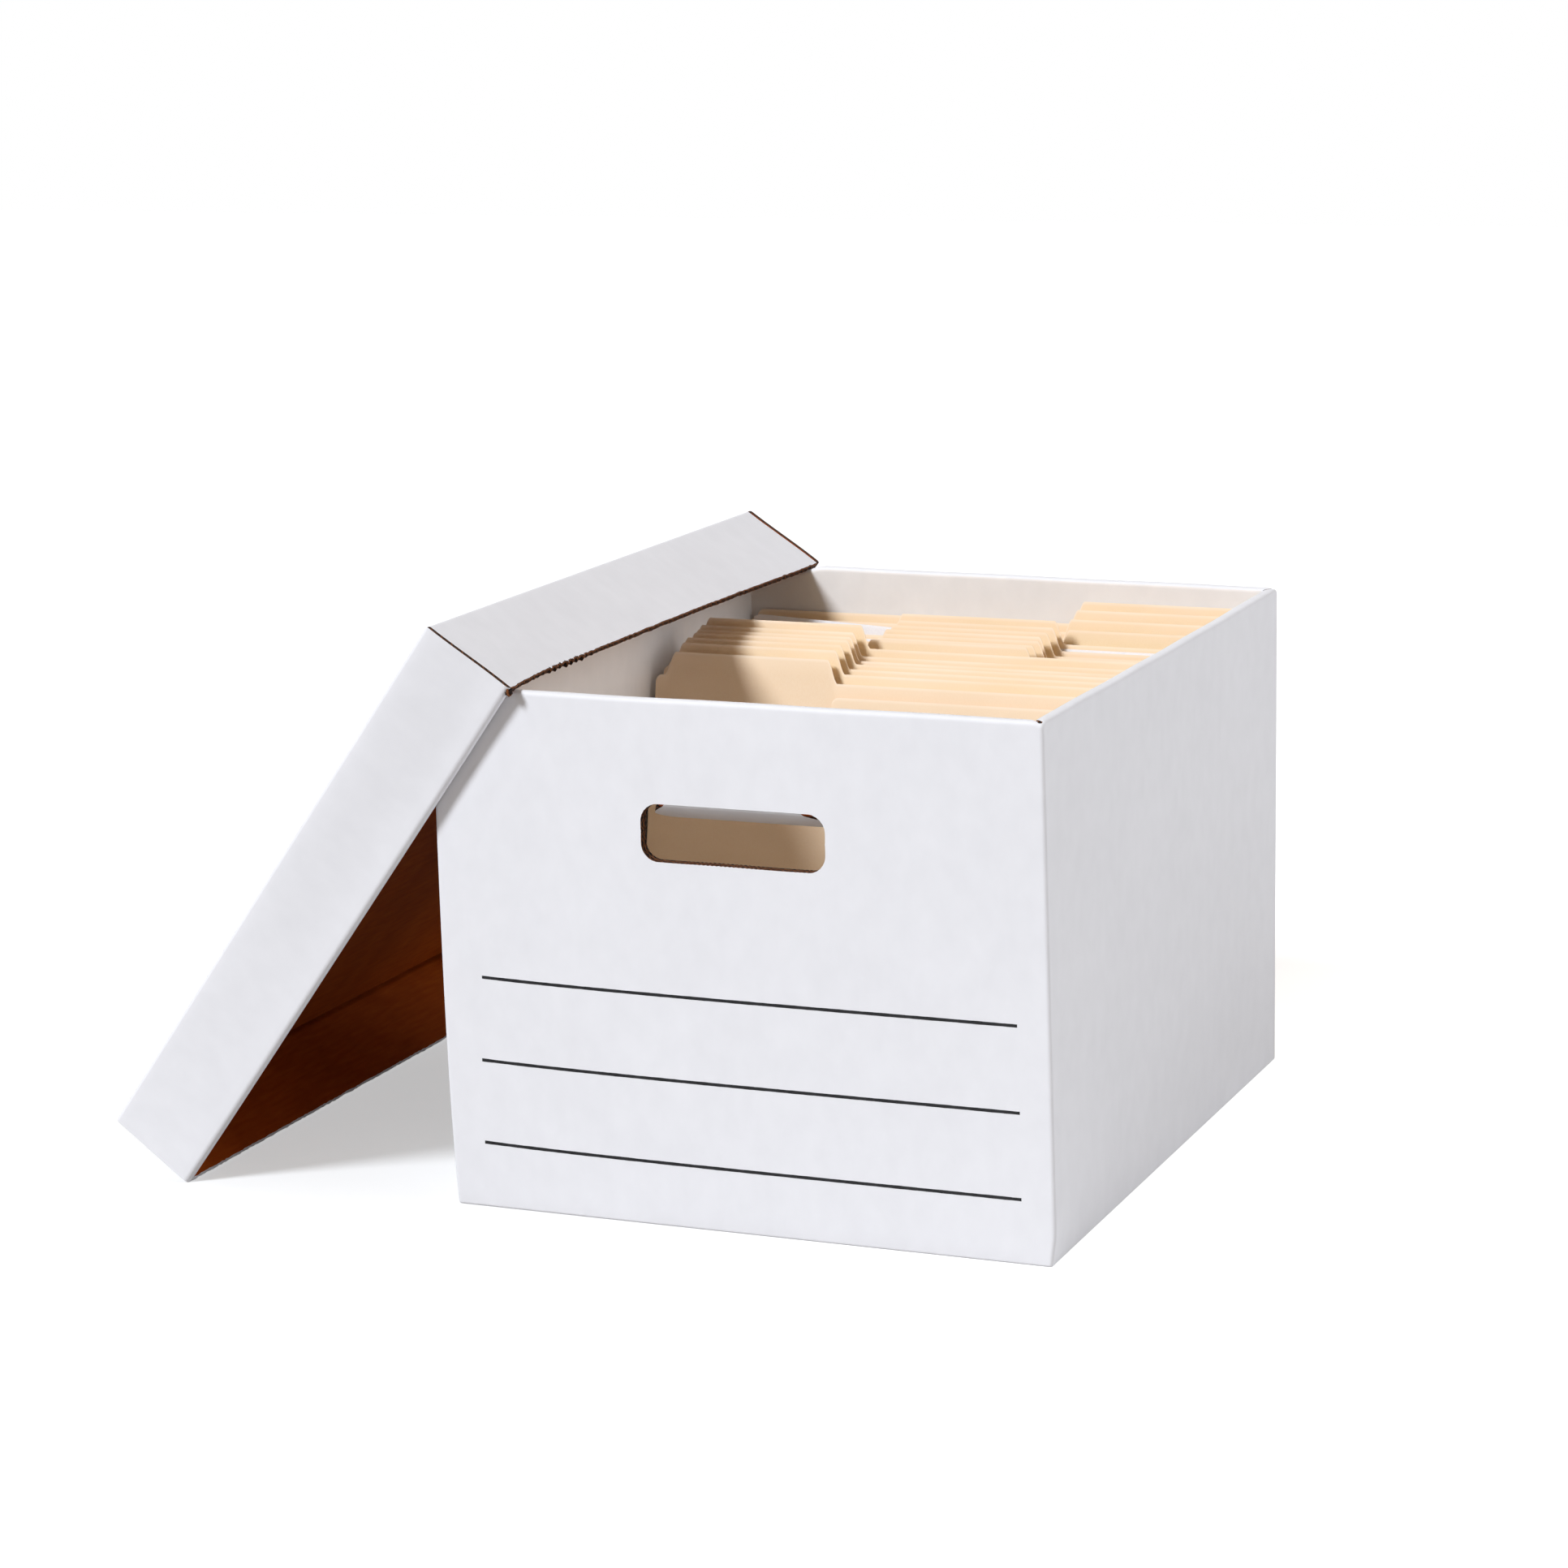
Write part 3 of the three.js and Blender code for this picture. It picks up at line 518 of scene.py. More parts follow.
def racked(x, y, z):
    """Sideways shift of the walls: the front end has been pushed to the left, least at its base,
    and fades out towards the back. The left corner follows 1 - exp(-z), the right one leans."""
    to_front = np.clip(0.5 - y / (2 * HALF_D), 0, 1)
    to_left = np.clip(0.5 - x / (2 * HALF_W), 0, 1)
    left = RACKED["left"] * (1 - np.exp(-np.clip(z, 0, None) / RACKED["base"]))
    right = RACKED["right_foot"] + (RACKED["right_top"] - RACKED["right_foot"]) * z / HEIGHT
    right = right * smoothstep(0, RACKED["foot_fade"], z)
    return to_front * (to_left * left + (1 - to_left) * right)


def wall_bow(share, height):
    """Outward bow of a wall: a squared sine along it, where share is the distance from its corner
    over its length, times a blunted sine up it."""
    upright = np.sin(np.pi * height / HEIGHT) ** WALL_BOW["power"]
    return WALL_BOW["depth"] * np.sin(np.pi * share) ** 2 * upright


def rim_dip(height, from_corner):
    """How far the folded rim sinks: a bell at each corner, where two folds meet, and a squared
    sine between them."""
    near_rim = smoothstep(HEIGHT - RIM_DIP["from"], HEIGHT - RIM_DIP["full"], height)
    corner = RIM_DIP["corner"] * np.exp(-(from_corner / RIM_DIP["corner_width"]) ** 2)
    wave = np.sin(from_corner / RIM_DIP["wave_length"] + RIM_DIP["wave_start"]) ** 2
    return near_rim * (corner + RIM_DIP["wave"] * wave)


def back_rise(x, y, z):
    """How far the back wall stands up: it grows with the cube of the way to the back and, in its
    upper part, with the height."""
    to_back = np.clip(0.5 + y / (2 * HALF_D), 0, 1)
    to_right = np.clip(0.5 + x / (2 * HALF_W), 0, 1)
    past_lid = smoothstep(BACK_RISE["from"], BACK_RISE["from"] + BACK_RISE["over"], x)
    rise = BACK_RISE["left"] + (BACK_RISE["right"] - BACK_RISE["left"]) * to_right
    return rise * past_lid * to_back ** 3 * smoothstep(BACK_RISE["above"], HEIGHT, z)


def box_walls():
    """The section carried round the box. Each point is the corner box shrunk by its depth, moved
    by the walls' bow, the rim's dip, the racking and the rise of the back rim."""
    outer, inner = wall_section()
    places, normals, shares = walk_round(per_side=66, per_corner=5, crowding=0.14)
    faces_side = np.abs(normals[:, 0]) > np.abs(normals[:, 1])
    from_corner = shares * np.where(faces_side, 2 * HALF_D, 2 * HALF_W)

    def carried(profile):
        depth, height = profile[:, 0][:, None], profile[:, 1][:, None]
        inset = np.maximum(depth, CREASE_RADIUS)
        reach = (inset - depth) + wall_bow(shares, height)
        x = places[:, 0] * (HALF_W - inset) + reach * normals[:, 0]
        y = places[:, 1] * (HALF_D - inset) + reach * normals[:, 1]
        z = height - rim_dip(height, from_corner)
        return np.stack([x + racked(x, y, z), y, z + back_rise(x, y, z)], -1)

    faces_outer, faces_inner = carried(outer), carried(inner)
    level_row = 8                    # of the outer face, above the fold at its foot
    along = lengths(faces_outer[level_row, :, :2])
    depth, height = ((outer[1:] + outer[:-1]) / 2).T[:, :, None]
    on_rim = (depth > NOTCH["outer"]) & (depth < NOTCH["inner"]) & (height > HEIGHT - NOTCH["down"])
    at_corner = (from_corner[1:] + from_corner[:-1]) / 2 < NOTCH["half_width"]
    face = np.where(depth > FOLDED - GAP, INSIDE, OUTSIDE)
    face = np.where(on_rim & at_corner, ACROSS, face)
    skin = thick_sheet(faces_outer, faces_inner, along, lengths(outer), BOARD,
                       (face, ACROSS, ACROSS, ACROSS), closed=True)
    nodes = [wall + layer for wall in ("front_wall", "back_wall", "left_wall", "right_wall")
             for layer in ("", "_liner")]
    walls = make_piece("board_walls", skin, WHITE_INSIDE, "box", nodes)
    cut_hand_hole(walls, -1)
    cut_hand_hole(walls, 1)


def slot_outline(per_arc, per_line):
    """Rounded slot about its own centre as points (x, z), counter-clockwise, and the way walked."""
    u = HOLE["width"] / 2 - HOLE["radius"]
    v = HOLE["height"] / 2 - HOLE["radius"]
    pieces = []
    for (cx, cz), start in (((u, -v), -90), ((u, v), 0), ((-u, v), 90), ((-u, -v), 180)):
        pieces.append(bend((cx, cz), HOLE["radius"], 0, start, start + 90, per_arc)[0])
    rounded = np.concatenate(pieces + [pieces[0][:1]])
    walked = lengths(rounded)
    even = np.linspace(0, walked[-1], 4 * per_line)
    return np.interp(even, walked, rounded[:, 0]), np.interp(even, walked, rounded[:, 1]), even


def cut_hand_hole(walls, side):
    """Cuts the hand hole through both layers. The die leaves small nicks all round its edge, a
    row of sine humps that swell and shrink, but for the top, where the tab's crease is."""
    x, z, walked = slot_outline(per_arc=14, per_line=150)
    normal = np.stack([x / (HOLE["width"] / 2) ** 4, z / (HOLE["height"] / 2) ** 4], -1)
    normal /= np.linalg.norm(normal, axis=1)[:, None]
    swell = np.sin(walked / NICKS["swell_length"] + side)
    swell = NICKS["steady"] + (1 - NICKS["steady"]) * swell
    nick = NICKS["depth"] * np.abs(np.sin(walked * np.pi / NICKS["pitch"])) * swell
    nick[-1] = nick[0]
    crease_z = HOLE["height"] / 2
    nick = nick * smoothstep(crease_z, crease_z - NICKS["crease_fade"], z)
    depths = np.array(HOLE_DEPTHS)
    points = np.zeros((len(depths), len(x), 3))
    points[..., 0] = x - nick * normal[:, 0] - side * HOLE["offset_x"]
    points[..., 2] = z - nick * normal[:, 1] + HOLE["centre_z"]
    points[..., 1] = side * (HALF_D - depths[:, None])
    middle = np.array([-side * HOLE["offset_x"], 0, HOLE["centre_z"]])
    patches = [patch(points, walked, depths, ACROSS)]
    for row in (0, -1):
        hub = np.broadcast_to(middle + [0, points[row, 0, 1], 0], points[row].shape)
        patches.append(patch(np.stack([points[row], hub]), walked, [0, 1], ACROSS))
    cutter = make_piece("hole_cutter", patches, WHITE_INSIDE, "box")
    modifier = walls.modifiers.new("hand_hole", "BOOLEAN")
    modifier.object = cutter
    modifier.operation = "DIFFERENCE"
    modifier.solver = "EXACT"
    bpy.context.view_layer.update()
    evaluated = walls.evaluated_get(bpy.context.evaluated_depsgraph_get())
    carved = bpy.data.meshes.new_from_object(evaluated)
    walls.modifiers.clear()
    carved.set_sharp_from_angle(angle=math.radians(SHARP))
    walls.data = carved
    bpy.data.objects.remove(cutter)


def tab_length(pushed_in):
    """The tab ends short of the hole's lower edge, and by twice as much where it is bent."""
    return HOLE["height"] - TAB_SLACK * (1 + pushed_in)


def tab_inset(drop, pushed_in):
    """How far the tab's sides are drawn in at each drop below its crease: the hole's round
    corners where it is flush, and a crushed quadratic curve where it has been pushed in."""
    height = tab_length(pushed_in)
    r = HOLE["radius"] - TAB_SLACK
    lower = np.clip((drop - (height - r)) / r, 0, 1)
    inset = r * (1 - np.sqrt(1 - lower ** 2))
    if pushed_in:
        u = np.linspace(0, 1, 60)
        curve = 2 * u * (1 - u) * CRUSH["depth"] + u ** 2 * (height - r)
        return inset + np.interp(drop, curve, CRUSH["inset"] * (1 - u) ** 2)
    upper = np.clip(1 - (drop - TAB_SLACK) / r, 0, 1)
    return inset + r * (1 - np.sqrt(1 - upper ** 2))


def hand_hole_tab(name, node, side, angle, body):
    """The tab swings inwards about the crease at the top of the hole: the swing grows over the
    bend, and the ways in and down are the running sums of its sine and cosine. The free end
    curls with the square of the drop, and the board is crushed thin at the crease."""
    pushed_in = angle > 0
    near_crease, below = np.linspace(0, 3, 9), np.linspace(4, tab_length(pushed_in), 24)
    drop = np.concatenate([near_crease, below])[:, None]
    u = np.linspace(-1, 1, 56)[None, :]
    half = HOLE["width"] / 2 - TAB_SLACK - tab_inset(drop, pushed_in)
    across = half * u
    drop = drop + 0 * u
    swing = math.radians(angle) * smoothstep(TAB_BEND["from"], TAB_BEND["to"], drop)
    steps = np.diff(drop, axis=0, prepend=0)
    inward_path, down_path = np.cumsum(steps * np.sin(swing), 0), np.cumsum(steps * np.cos(swing), 0)
    curl = TAB_BEND["curl"] * drop ** 2 * pushed_in
    seam = TAB_SEAM["pushed_in" if pushed_in else "flush"]
    top = HOLE["centre_z"] + HOLE["height"] / 2 - seam

    def placed(depth):
        inward = inward_path + (depth + curl) * np.cos(swing)
        down = down_path - (depth + curl) * np.sin(swing)
        x = across - side * HOLE["offset_x"]
        return np.stack([x, side * (HALF_D - inward), top - down], -1)

    thin = CRUSH["thinnest"]
    crushed = BOARD * (thin + (1 - thin) * smoothstep(CRUSH["thin_to"], CRUSH["full_from"], drop))
    pattern_row = 12                 # its places across stand for the whole tab's pattern
    skin = thick_sheet(placed(0.0 * drop), placed(crushed), across[pattern_row], drop[:, 0], BOARD,
                       (OUTSIDE, INSIDE, ACROSS, ALONG))
    make_piece(name, skin, KRAFT_INSIDE, body, [node])


def ruled_lines():
    """Three printed lines on the front, each a thin film on the bowed wall. Its left end rises by
    an exponential, and its edges are uneven by a product of two sines."""
    film = INK_FILM
    for number, (height, left, right) in enumerate(RULED_LINES):
        x = np.linspace(left, right, 120)
        level = height + film["left_rise"] * np.exp(-(x - left) / film["rise_over"]) - film["drop"]
        first, second = film["waves"]
        uneven = film["uneven"] * np.sin(x / first + number) * np.sin(x / second)
        half = film["width"] / 2 * (1 + uneven)
        share = (x + HALF_W) / (2 * HALF_W)
        bow = wall_bow(np.minimum(share, 1 - share), height)
        face = np.zeros((2, len(x), 3))
        face[..., 0] = x
        face[..., 1] = -HALF_D - bow - film["proud"]
        face[0, :, 2] = level - half
        face[1, :, 2] = level + half
        under = face + [0, film["thickness"], 0]
        skin = thick_sheet(face, under, x, [0, 1], film["thickness"], (OUTSIDE,) * 4)
        make_piece(f"ruled_line_{number + 1}", skin, [INK], "box")


# ------------------------------------------------------------------ lid


def in_lid(points):
    """Moves points from the lid's own frame (x' up the slope, z' out of the panel) to the model's."""
    return LID_ORIGIN + points @ LID_AXES


def skewed(x, y, z):
    """Shift along y of the lid's skirts, which stand a little out of square at their free edges:
    the upper edge leans back, the foot forward, and the end skirts bow at their middle."""
    down = smoothstep(0, FOLDED / 2 - LID["height"], z)
    to_upper = np.clip(0.5 + x / LID["width"], 0, 1)
    to_front = np.clip(0.5 - y / LID["depth"], 0, 1)
    middle = SKEW["front_middle"] * to_front + SKEW["back_middle"] * (1 - to_front)
    middle = middle * np.clip(1 - (2 * x / LID["width"]) ** 4, 0, 1)
    return down * (SKEW["upper"] * to_upper + SKEW["foot"] * (1 - to_upper) * to_front + middle)


def pinched(inner, corner):
    """Draws an inner profile into the board where the crease has crushed it: a bell round the
    corner, along its diagonal."""
    away = inner - corner
    pinch = PINCH["depth"] * np.exp(-(np.linalg.norm(away, axis=1) / PINCH["width"]) ** 2)[:, None]
    return inner + pinch * np.array([math.copysign(1, corner[0]), 1]) / math.sqrt(2)


def crumpled_flute():
    """A closed, uneven ball of torn flute paper, as a grid of points: a sphere whose radius has
    slanting sine lumps."""
    polar, around = np.linspace(0, np.pi, 13)[:, None], np.linspace(0, 2 * np.pi, 25)[None, :]
    lumps = sum(tall * np.sin(turns * around + slant * polar) for turns, slant, tall in CRUMPLE["lumps"])
    size = CRUMPLE["radius"] * (1 + np.sin(polar) * lumps)
    ball = [np.sin(polar) * np.cos(around), np.sin(polar) * np.sin(around), np.cos(polar) + 0 * around]
    return np.array(CRUMPLE["centre"]) + size[..., None] * np.stack(ball, -1)


def lid_section():
    """Section of the lid's board, from the lower skirt's edge over the panel to the upper one's.
    It has short stretches near the two creases and at the torn edge."""
    half, r, bottom = LID["width"] / 2, LID["crease"], -LID["height"]
    in_x, low = half - BOARD, -BOARD - PINCH["reach"]
    flat_x, bare = in_x - PINCH["reach"], bottom + 2 * TORN["bare"]
    outer, inner = section(
        straight((-half, bottom), (-half, low), (-in_x, bottom), (-in_x, low), 12),
        straight((-half, low), (-half, -r), (-in_x, low), (-in_x, -BOARD), 12),
        crease((r - half, -r), r, (-in_x, -BOARD), 180, 90, 7),
        straight((r - half, 0), (-flat_x, 0), (-in_x, -BOARD), (-flat_x, -BOARD), 12),
        straight((-flat_x, 0), (flat_x, 0), (-flat_x, -BOARD), (flat_x, -BOARD), 48),
        straight((flat_x, 0), (half - r, 0), (flat_x, -BOARD), (in_x, -BOARD), 12),
        crease((half - r, -r), r, (in_x, -BOARD), 90, 0, 7),
        straight((half, -r), (half, low), (in_x, -BOARD), (in_x, low), 12),
        straight((half, low), (half, bare), (in_x, low), (in_x, bare), 11),
        straight((half, bare), (half, bottom), (in_x, bare), (in_x, bottom), 3))
    return outer, pinched(pinched(inner, (-in_x, -BOARD)), (in_x, -BOARD))


def torn_depth(y, from_front):
    """Depth of the torn flutes along the upper skirt's edge: the upper halves of a sine at the
    flutes' pitch, blunted, within a flat-topped bell near the front."""
    flutes = np.clip(np.sin(2 * np.pi * y / FLUTE_PITCH), 0, 1) ** TORN["bluntness"]
    depth = TORN["depth"] + TORN["swing"] * np.sin(y / TORN["swing_length"])
    return depth * np.exp(-((from_front - TORN["centre"]) / TORN["half_width"]) ** 4) * flutes


def pushed_up(from_front):
    """Share by which the upper skirt's edge is arched: it rises from the front, falls towards the
    back, and dips in a bell at its front end."""
    arch = smoothstep(*ARCH["rise"], from_front) * (1 - smoothstep(*ARCH["fall"], from_front))
    return arch - ARCH["dip"] * np.exp(-(from_front / ARCH["dip_width"]) ** 2)


def lid_panel():
    """Top panel and the two long skirts: one board bent over two creases, its section carried
    along y. The panel sinks by a product of cosines, the upper skirt is arched and torn, and the
    lower one bows by a cosine."""
    half, r, drop = LID["width"] / 2, LID["crease"], LID["height"]
    outer, inner = lid_section()
    reach = LID["depth"] / 2 - BOARD - GAP
    y = np.linspace(-reach + PANEL_ENDS[0], reach + PANEL_ENDS[1], 320)
    rng = np.random.default_rng(SEEDS["lid_edges"])
    samples = np.linspace(-reach, reach, TEAR["samples"])
    tear = np.interp(y, samples, rng.normal(0, TEAR["ragged"], TEAR["samples"]))
    torn = torn_depth(y, y + reach)
    arch = pushed_up(y + reach)
    bow = LOWER_BOW * np.cos(np.pi * y / (2 * reach))

    def carried(profile):
        x, z = profile[:, 0][:, None], profile[:, 1][:, None]
        free_edge = smoothstep(-drop + TEAR["fade"], -drop, z)
        down = smoothstep(-r, -drop, z)
        warp = np.where(x > 0, -ARCH["inward"] * arch, bow) * down
        lift = np.where(x > 0, ARCH["lift"] * arch, 0) * down
        sink = SINK["depth"] * np.cos(np.pi * x / (2 * half))
        sink = sink * np.cos(np.pi * y / (2 * reach + SINK["past_end"])) * (np.abs(x) < half - BOARD)
        ragged = free_edge * (tear + torn * (x > 0))
        place_y = y + skewed(x, y, z) * (np.abs(x) > half - 2 * BOARD)
        return in_lid(np.stack([x + warp, place_y + 0 * x, z + lift - ragged - sink], -1))

    face = np.full((len(outer) - 1, len(y) - 1), OUTSIDE)
    face[-1] = ACROSS
    face[-2, torn[1:] > TORN["bare"]] = ACROSS
    skin = thick_sheet(carried(outer), carried(inner), y, lengths(outer), BOARD,
                       (face, INSIDE, ACROSS, ALONG))
    lower_edge_painted_pale = skin[2]
    lower_edge_painted_pale["finish"] = OUTSIDE       # painted light: white finish on the lower skirt's cut edge, for the light the floor throws onto it
    ball = crumpled_flute()
    ball[..., 1] += skewed(ball[..., 0], ball[..., 1], ball[..., 2])
    along, across = (np.linspace(0, size, count)
                     for size, count in zip(CRUMPLE["pattern"], ball.shape[1::-1]))
    skin.append(patch(in_lid(ball), along, across, ACROSS))
    nodes = ["lid_top_panel", "lid_upper_skirt", "lid_lower_skirt"]
    make_piece("lid_board", skin, KRAFT_INSIDE, "lid", nodes)


def lid_end(name, side, nodes):
    """End skirt: bent down from the panel, its free edge rolled over into a second layer that
    stops short of the corner tabs. Its section is carried along x, at each point over the length
    that the panel's round edge, the first layer or the second leaves."""
    half, r, drop = LID["width"] / 2, LID["crease"], LID["height"]
    low = -drop + FOLDED / 2
    hem = -drop + LID["hem"]
    top = -BOARD - GAP
    behind = BOARD + GAP
    liner_half = half - behind - GAP - LID["tab"]
    liner_foot = hem + LINER_SEAM
    outer, inner = section(
        straight((behind, 0), (r, 0), (behind, -BOARD), (BOARD, -BOARD), 3),
        crease((r, -r), r, (BOARD, -BOARD), 90, 180, 7),
        straight((0, -r), (0, low), (BOARD, -BOARD), (BOARD, low), 14),
        bend((FOLDED / 2, low), FOLDED / 2, GAP / 2, 180, 360, 13, squareness=2.3),
        straight((FOLDED, low), (FOLDED, hem), (behind, low), (behind, hem), 3),
        straight((FOLDED, liner_foot), (FOLDED, top), (behind, liner_foot), (behind, top), 10))
    t = np.linspace(-1, 1, 90)
    station_depth, station_z = outer[:, 0][:, None], outer[:, 1][:, None]
    on_liner = (station_depth > FOLDED - HAIR) & (station_z > hem + LINER_SEAM / 2)

    def carried(profile):
        depth, z = profile[:, 0][:, None], profile[:, 1][:, None]
        corner = half - r + np.sqrt(np.clip(r ** 2 - (np.clip(z, -r, 0) + r) ** 2, 0, None))
        length = np.where(station_depth > behind + HAIR, half - behind, corner)
        x = t * np.where(on_liner, liner_half, length)
        y = side * (LID["depth"] / 2 - depth) + 0 * x
        return in_lid(np.stack([x, y + skewed(x, y, z), z + 0 * x], -1))

    skin = thick_sheet(carried(outer), carried(inner), t * half, lengths(outer), BOARD,
                       (OUTSIDE, INSIDE, ALONG, ACROSS))
    make_piece(name, skin, KRAFT_INSIDE, "lid", nodes)


def lid_corner_tab(name, end, edge):
    """Tab folded round from a long skirt's end and glued behind an end skirt. It tapers by a
    board's thickness at both long sides, to slip under the rolled edge."""
    behind = BOARD + GAP
    hinge = LID["width"] / 2 - behind
    top, bottom = -behind, LID["hem"] + GAP - LID["height"]
    u = np.linspace(0, 1, 20)[None, :]
    v = np.linspace(0, 1, 14)[:, None]
    x = edge * (hinge - u * LID["tab"]) + 0 * v
    z = top - BOARD * u + v * (bottom - top + 2 * BOARD * u)

    def placed(depth):
        y = end * (LID["depth"] / 2 - depth) + 0 * x
        return in_lid(np.stack([x, y + skewed(x, y, z), z], -1))

    along, across = u[0] * LID["tab"], v[:, 0] * (top - bottom)
    skin = thick_sheet(placed(behind), placed(behind + BOARD), along, across, BOARD,
                       (INSIDE, INSIDE, ALONG, ACROSS))
    make_piece(name, skin, KRAFT_INSIDE, "lid", [name])


# ------------------------------------------------------------------ folders


def tab_centre(tab):
    """Place of a folder's tab over its width."""
    place = {"left": -1, "centre": 0, "right": 1}[tab]
    return place * (LEAF["width"] / 2 - TAB["from_end"] - TAB["width"] / 2)


def rounded_ends(x, top):
    """Height of a straight cut edge whose two ends are round."""
    r = LEAF["corner"]
    from_end = np.clip(LEAF["width"] / 2 - np.abs(x), 0, r)
    return top - r + np.sqrt(r ** 2 - (r - from_end) ** 2)


def back_leaf_edge(x, top, tab):
    """Height of a back leaf's cut edge over its width: a tab with S-shaped shoulders."""
    away = np.abs(x - tab_centre(tab)) - TAB["width"] / 2
    return rounded_ends(x, top) + LEAF["drop"] * (1 - smoothstep(*TAB["slope"], away))


def front_leaf_edge(x, top, tab):
    """Height of a front leaf's cut edge: it steps down below the tab, round above and below
    the step, and the undercut of an end tab runs out to that end."""
    r = LEAF["corner"]
    from_centre = x - tab_centre(tab)
    margin = np.where(from_centre < 0, UNDERCUT["margin"][-1], UNDERCUT["margin"][1])
    away = np.abs(from_centre) - TAB["width"] / 2 - margin
    if tab == "left":
        away = np.where(from_centre < 0, -r, away)
    if tab == "right":
        away = np.where(from_centre > 0, -r, away)
    outside, inside = np.clip(away, 0, r), np.clip(-away, 0, r)
    above = -r + np.sqrt(r ** 2 - (r - outside) ** 2)
    below = r - UNDERCUT["depth"] - np.sqrt(r ** 2 - (r - inside) ** 2)
    return rounded_ends(x, top) + np.where(away > 0, above, below)


def leaf_columns(tab):
    """Columns over the width, crowded at the ends, the tab's shoulders and the undercut's steps."""
    half = LEAF["width"] / 2
    near = np.array([0.1, 0.4, 1, 2, 3])
    columns = [np.linspace(-half, half, 48), half - near, near - half]
    for side in (-1, 1):
        edge = tab_centre(tab) + side * TAB["width"] / 2
        columns.append(edge + side * np.linspace(-3, TAB["shoulder"], 15))
        step = edge + side * UNDERCUT["margin"][side]
        columns.append(step + np.concatenate([-near, [-0.02, 0.02], near]))
    return np.unique(np.clip(np.concatenate(columns), -half, half).round(3))


def in_folder(index, x, out, up):
    """Places points in a leaning folder: out is across its fold and up is along its leaves."""
    _, y, z, lean, shift = FOLDERS[index]
    angle = math.radians(lean)
    foot = y - (z - PIVOT_Z) * math.tan(angle)
    return np.stack([
        x + shift,
        foot + up * math.sin(angle) + out * math.cos(angle),
        PIVOT_Z + up * math.cos(angle) - out * math.sin(angle)], -1)


def folder(index, rng):
    """One card bent round its bottom fold, a half ring between two leaves. Going up, the leaves
    ripple gently, by a sine over their width."""
    tab, _, z, lean, _ = FOLDERS[index]
    number = f"{index + 1:02d}"
    reach = (z - PIVOT_Z) / math.cos(math.radians(lean))
    body_top = reach - LEAF["drop"]
    x = leaf_columns(tab)
    t = np.linspace(0, 1, 16)[:, None] ** 0.85       # rows lie a little closer near the cut edge
    spread = LEAF["front_spread"]
    front_top = body_top - LEAF["front_drop"] - rng.uniform(-spread, spread) * (index > 0)
    front_edge = front_leaf_edge(x, front_top, tab)
    back_edge = back_leaf_edge(x, body_top, tab)
    front_height, back_height = t[::-1] * front_edge, t * back_edge
    turn = np.radians(np.linspace(180, 360, 9))[1:-1, None]
    phase, waves, amount = (rng.uniform(*RIPPLE[limits]) for limits in ("phase", "waves", "amount"))
    grows = smoothstep(RIPPLE["from"], 1.0, np.concatenate([t[::-1], 0 * turn, t]))
    ripple = amount * grows * np.sin(waves * 2 * np.pi * x / LEAF["width"] + phase)

    def carried(shrink):
        half = FOLD_HALF - shrink
        out = np.concatenate([-half + 0 * t, half * np.cos(turn), half + 0 * t])
        up = np.concatenate([front_height, half * np.sin(turn) + 0 * x, back_height])
        return in_folder(index, x + 0 * up, out + ripple, up)

    outer, inner = carried(0), carried(LEAF["thickness"])
    below = np.concatenate([front_edge - front_height, back_edge + 0 * turn, back_edge - back_height])
    skin = thick_sheet(outer, inner, x + CARD_APART * index, below, LEAF["thickness"], (OUTSIDE,) * 4)
    card = MANILA_PACKED if index else MANILA_OPEN
    make_piece(f"manila_folder_{number}", skin, [card], f"file_{number}", [f"folder_{number}"])


def loose_sheets(index, rng):
    """A few sheets inside a folder, each slipped a little against the next, and curled by a sine
    that grows with the square of the height."""
    shift, rise, tilt = STACKS[index + 1]
    cosine, sine = math.cos(math.radians(tilt)), math.sin(math.radians(tilt))
    skin = []
    for layer in range(SHEET["count"]):
        place = layer - (SHEET["count"] - 1) / 2
        across = np.linspace(-0.5, 0.5, 40) * SHEET["width"]
        along = np.linspace(-0.5, 0.5, 14) * SHEET["height"]
        u = across + place * SHEET["slip"] + rng.uniform(-SHEET["stray"], SHEET["stray"])
        v = along[:, None] + rise + layer * SHEET["slip"] / 2
        x = shift + u * cosine + v * sine
        up = SHEET["height"] / 2 - u * sine + v * cosine
        curl = SHEET["curl"] * np.sin(x / SHEET["curl_length"] + layer) * (up / SHEET["height"]) ** 2
        out = place * SHEET["pitch"] + curl
        half = SHEET["thickness"] / 2
        outer, inner = in_folder(index, x, out - half, up), in_folder(index, x, out + half, up)
        skin += thick_sheet(outer, inner, across, along, SHEET["thickness"], (OUTSIDE,) * 4)
    number = f"{index + 1:02d}"
    make_piece(f"loose_sheets_{number}", skin, [PAPER], f"file_{number}", [f"sheets_{number}"])


# ------------------------------------------------------------------ carried-over solids


def finish_solids():
    """Plain solids that keep their own shape take a board finish."""
    finishes = {
        "bottom_panel": WHITE_FLAT,
        "floor_flap_left": INNER_FLAT,
        "floor_flap_right": INNER_FLAT,
    }
    for node, finish in finishes.items():
        slots = frame["nodes"][node].data.materials
        slots.clear()
        slots.append(finish)


# ------------------------------------------------------------------ stage, lights and camera


def seen_directly(tree):
    """1 for a camera, glossy or transmission ray, 0 for the light that bounces about."""
    rays = add(tree, "ShaderNodeLightPath").outputs
    seen = add(tree, "ShaderNodeMath", {
        0: rays["Is Camera Ray"], 1: rays["Is Glossy Ray"]}, operation="MAXIMUM")
    return add(tree, "ShaderNodeMath", {0: seen, 1: rays["Is Transmission Ray"]}, operation="MAXIMUM")


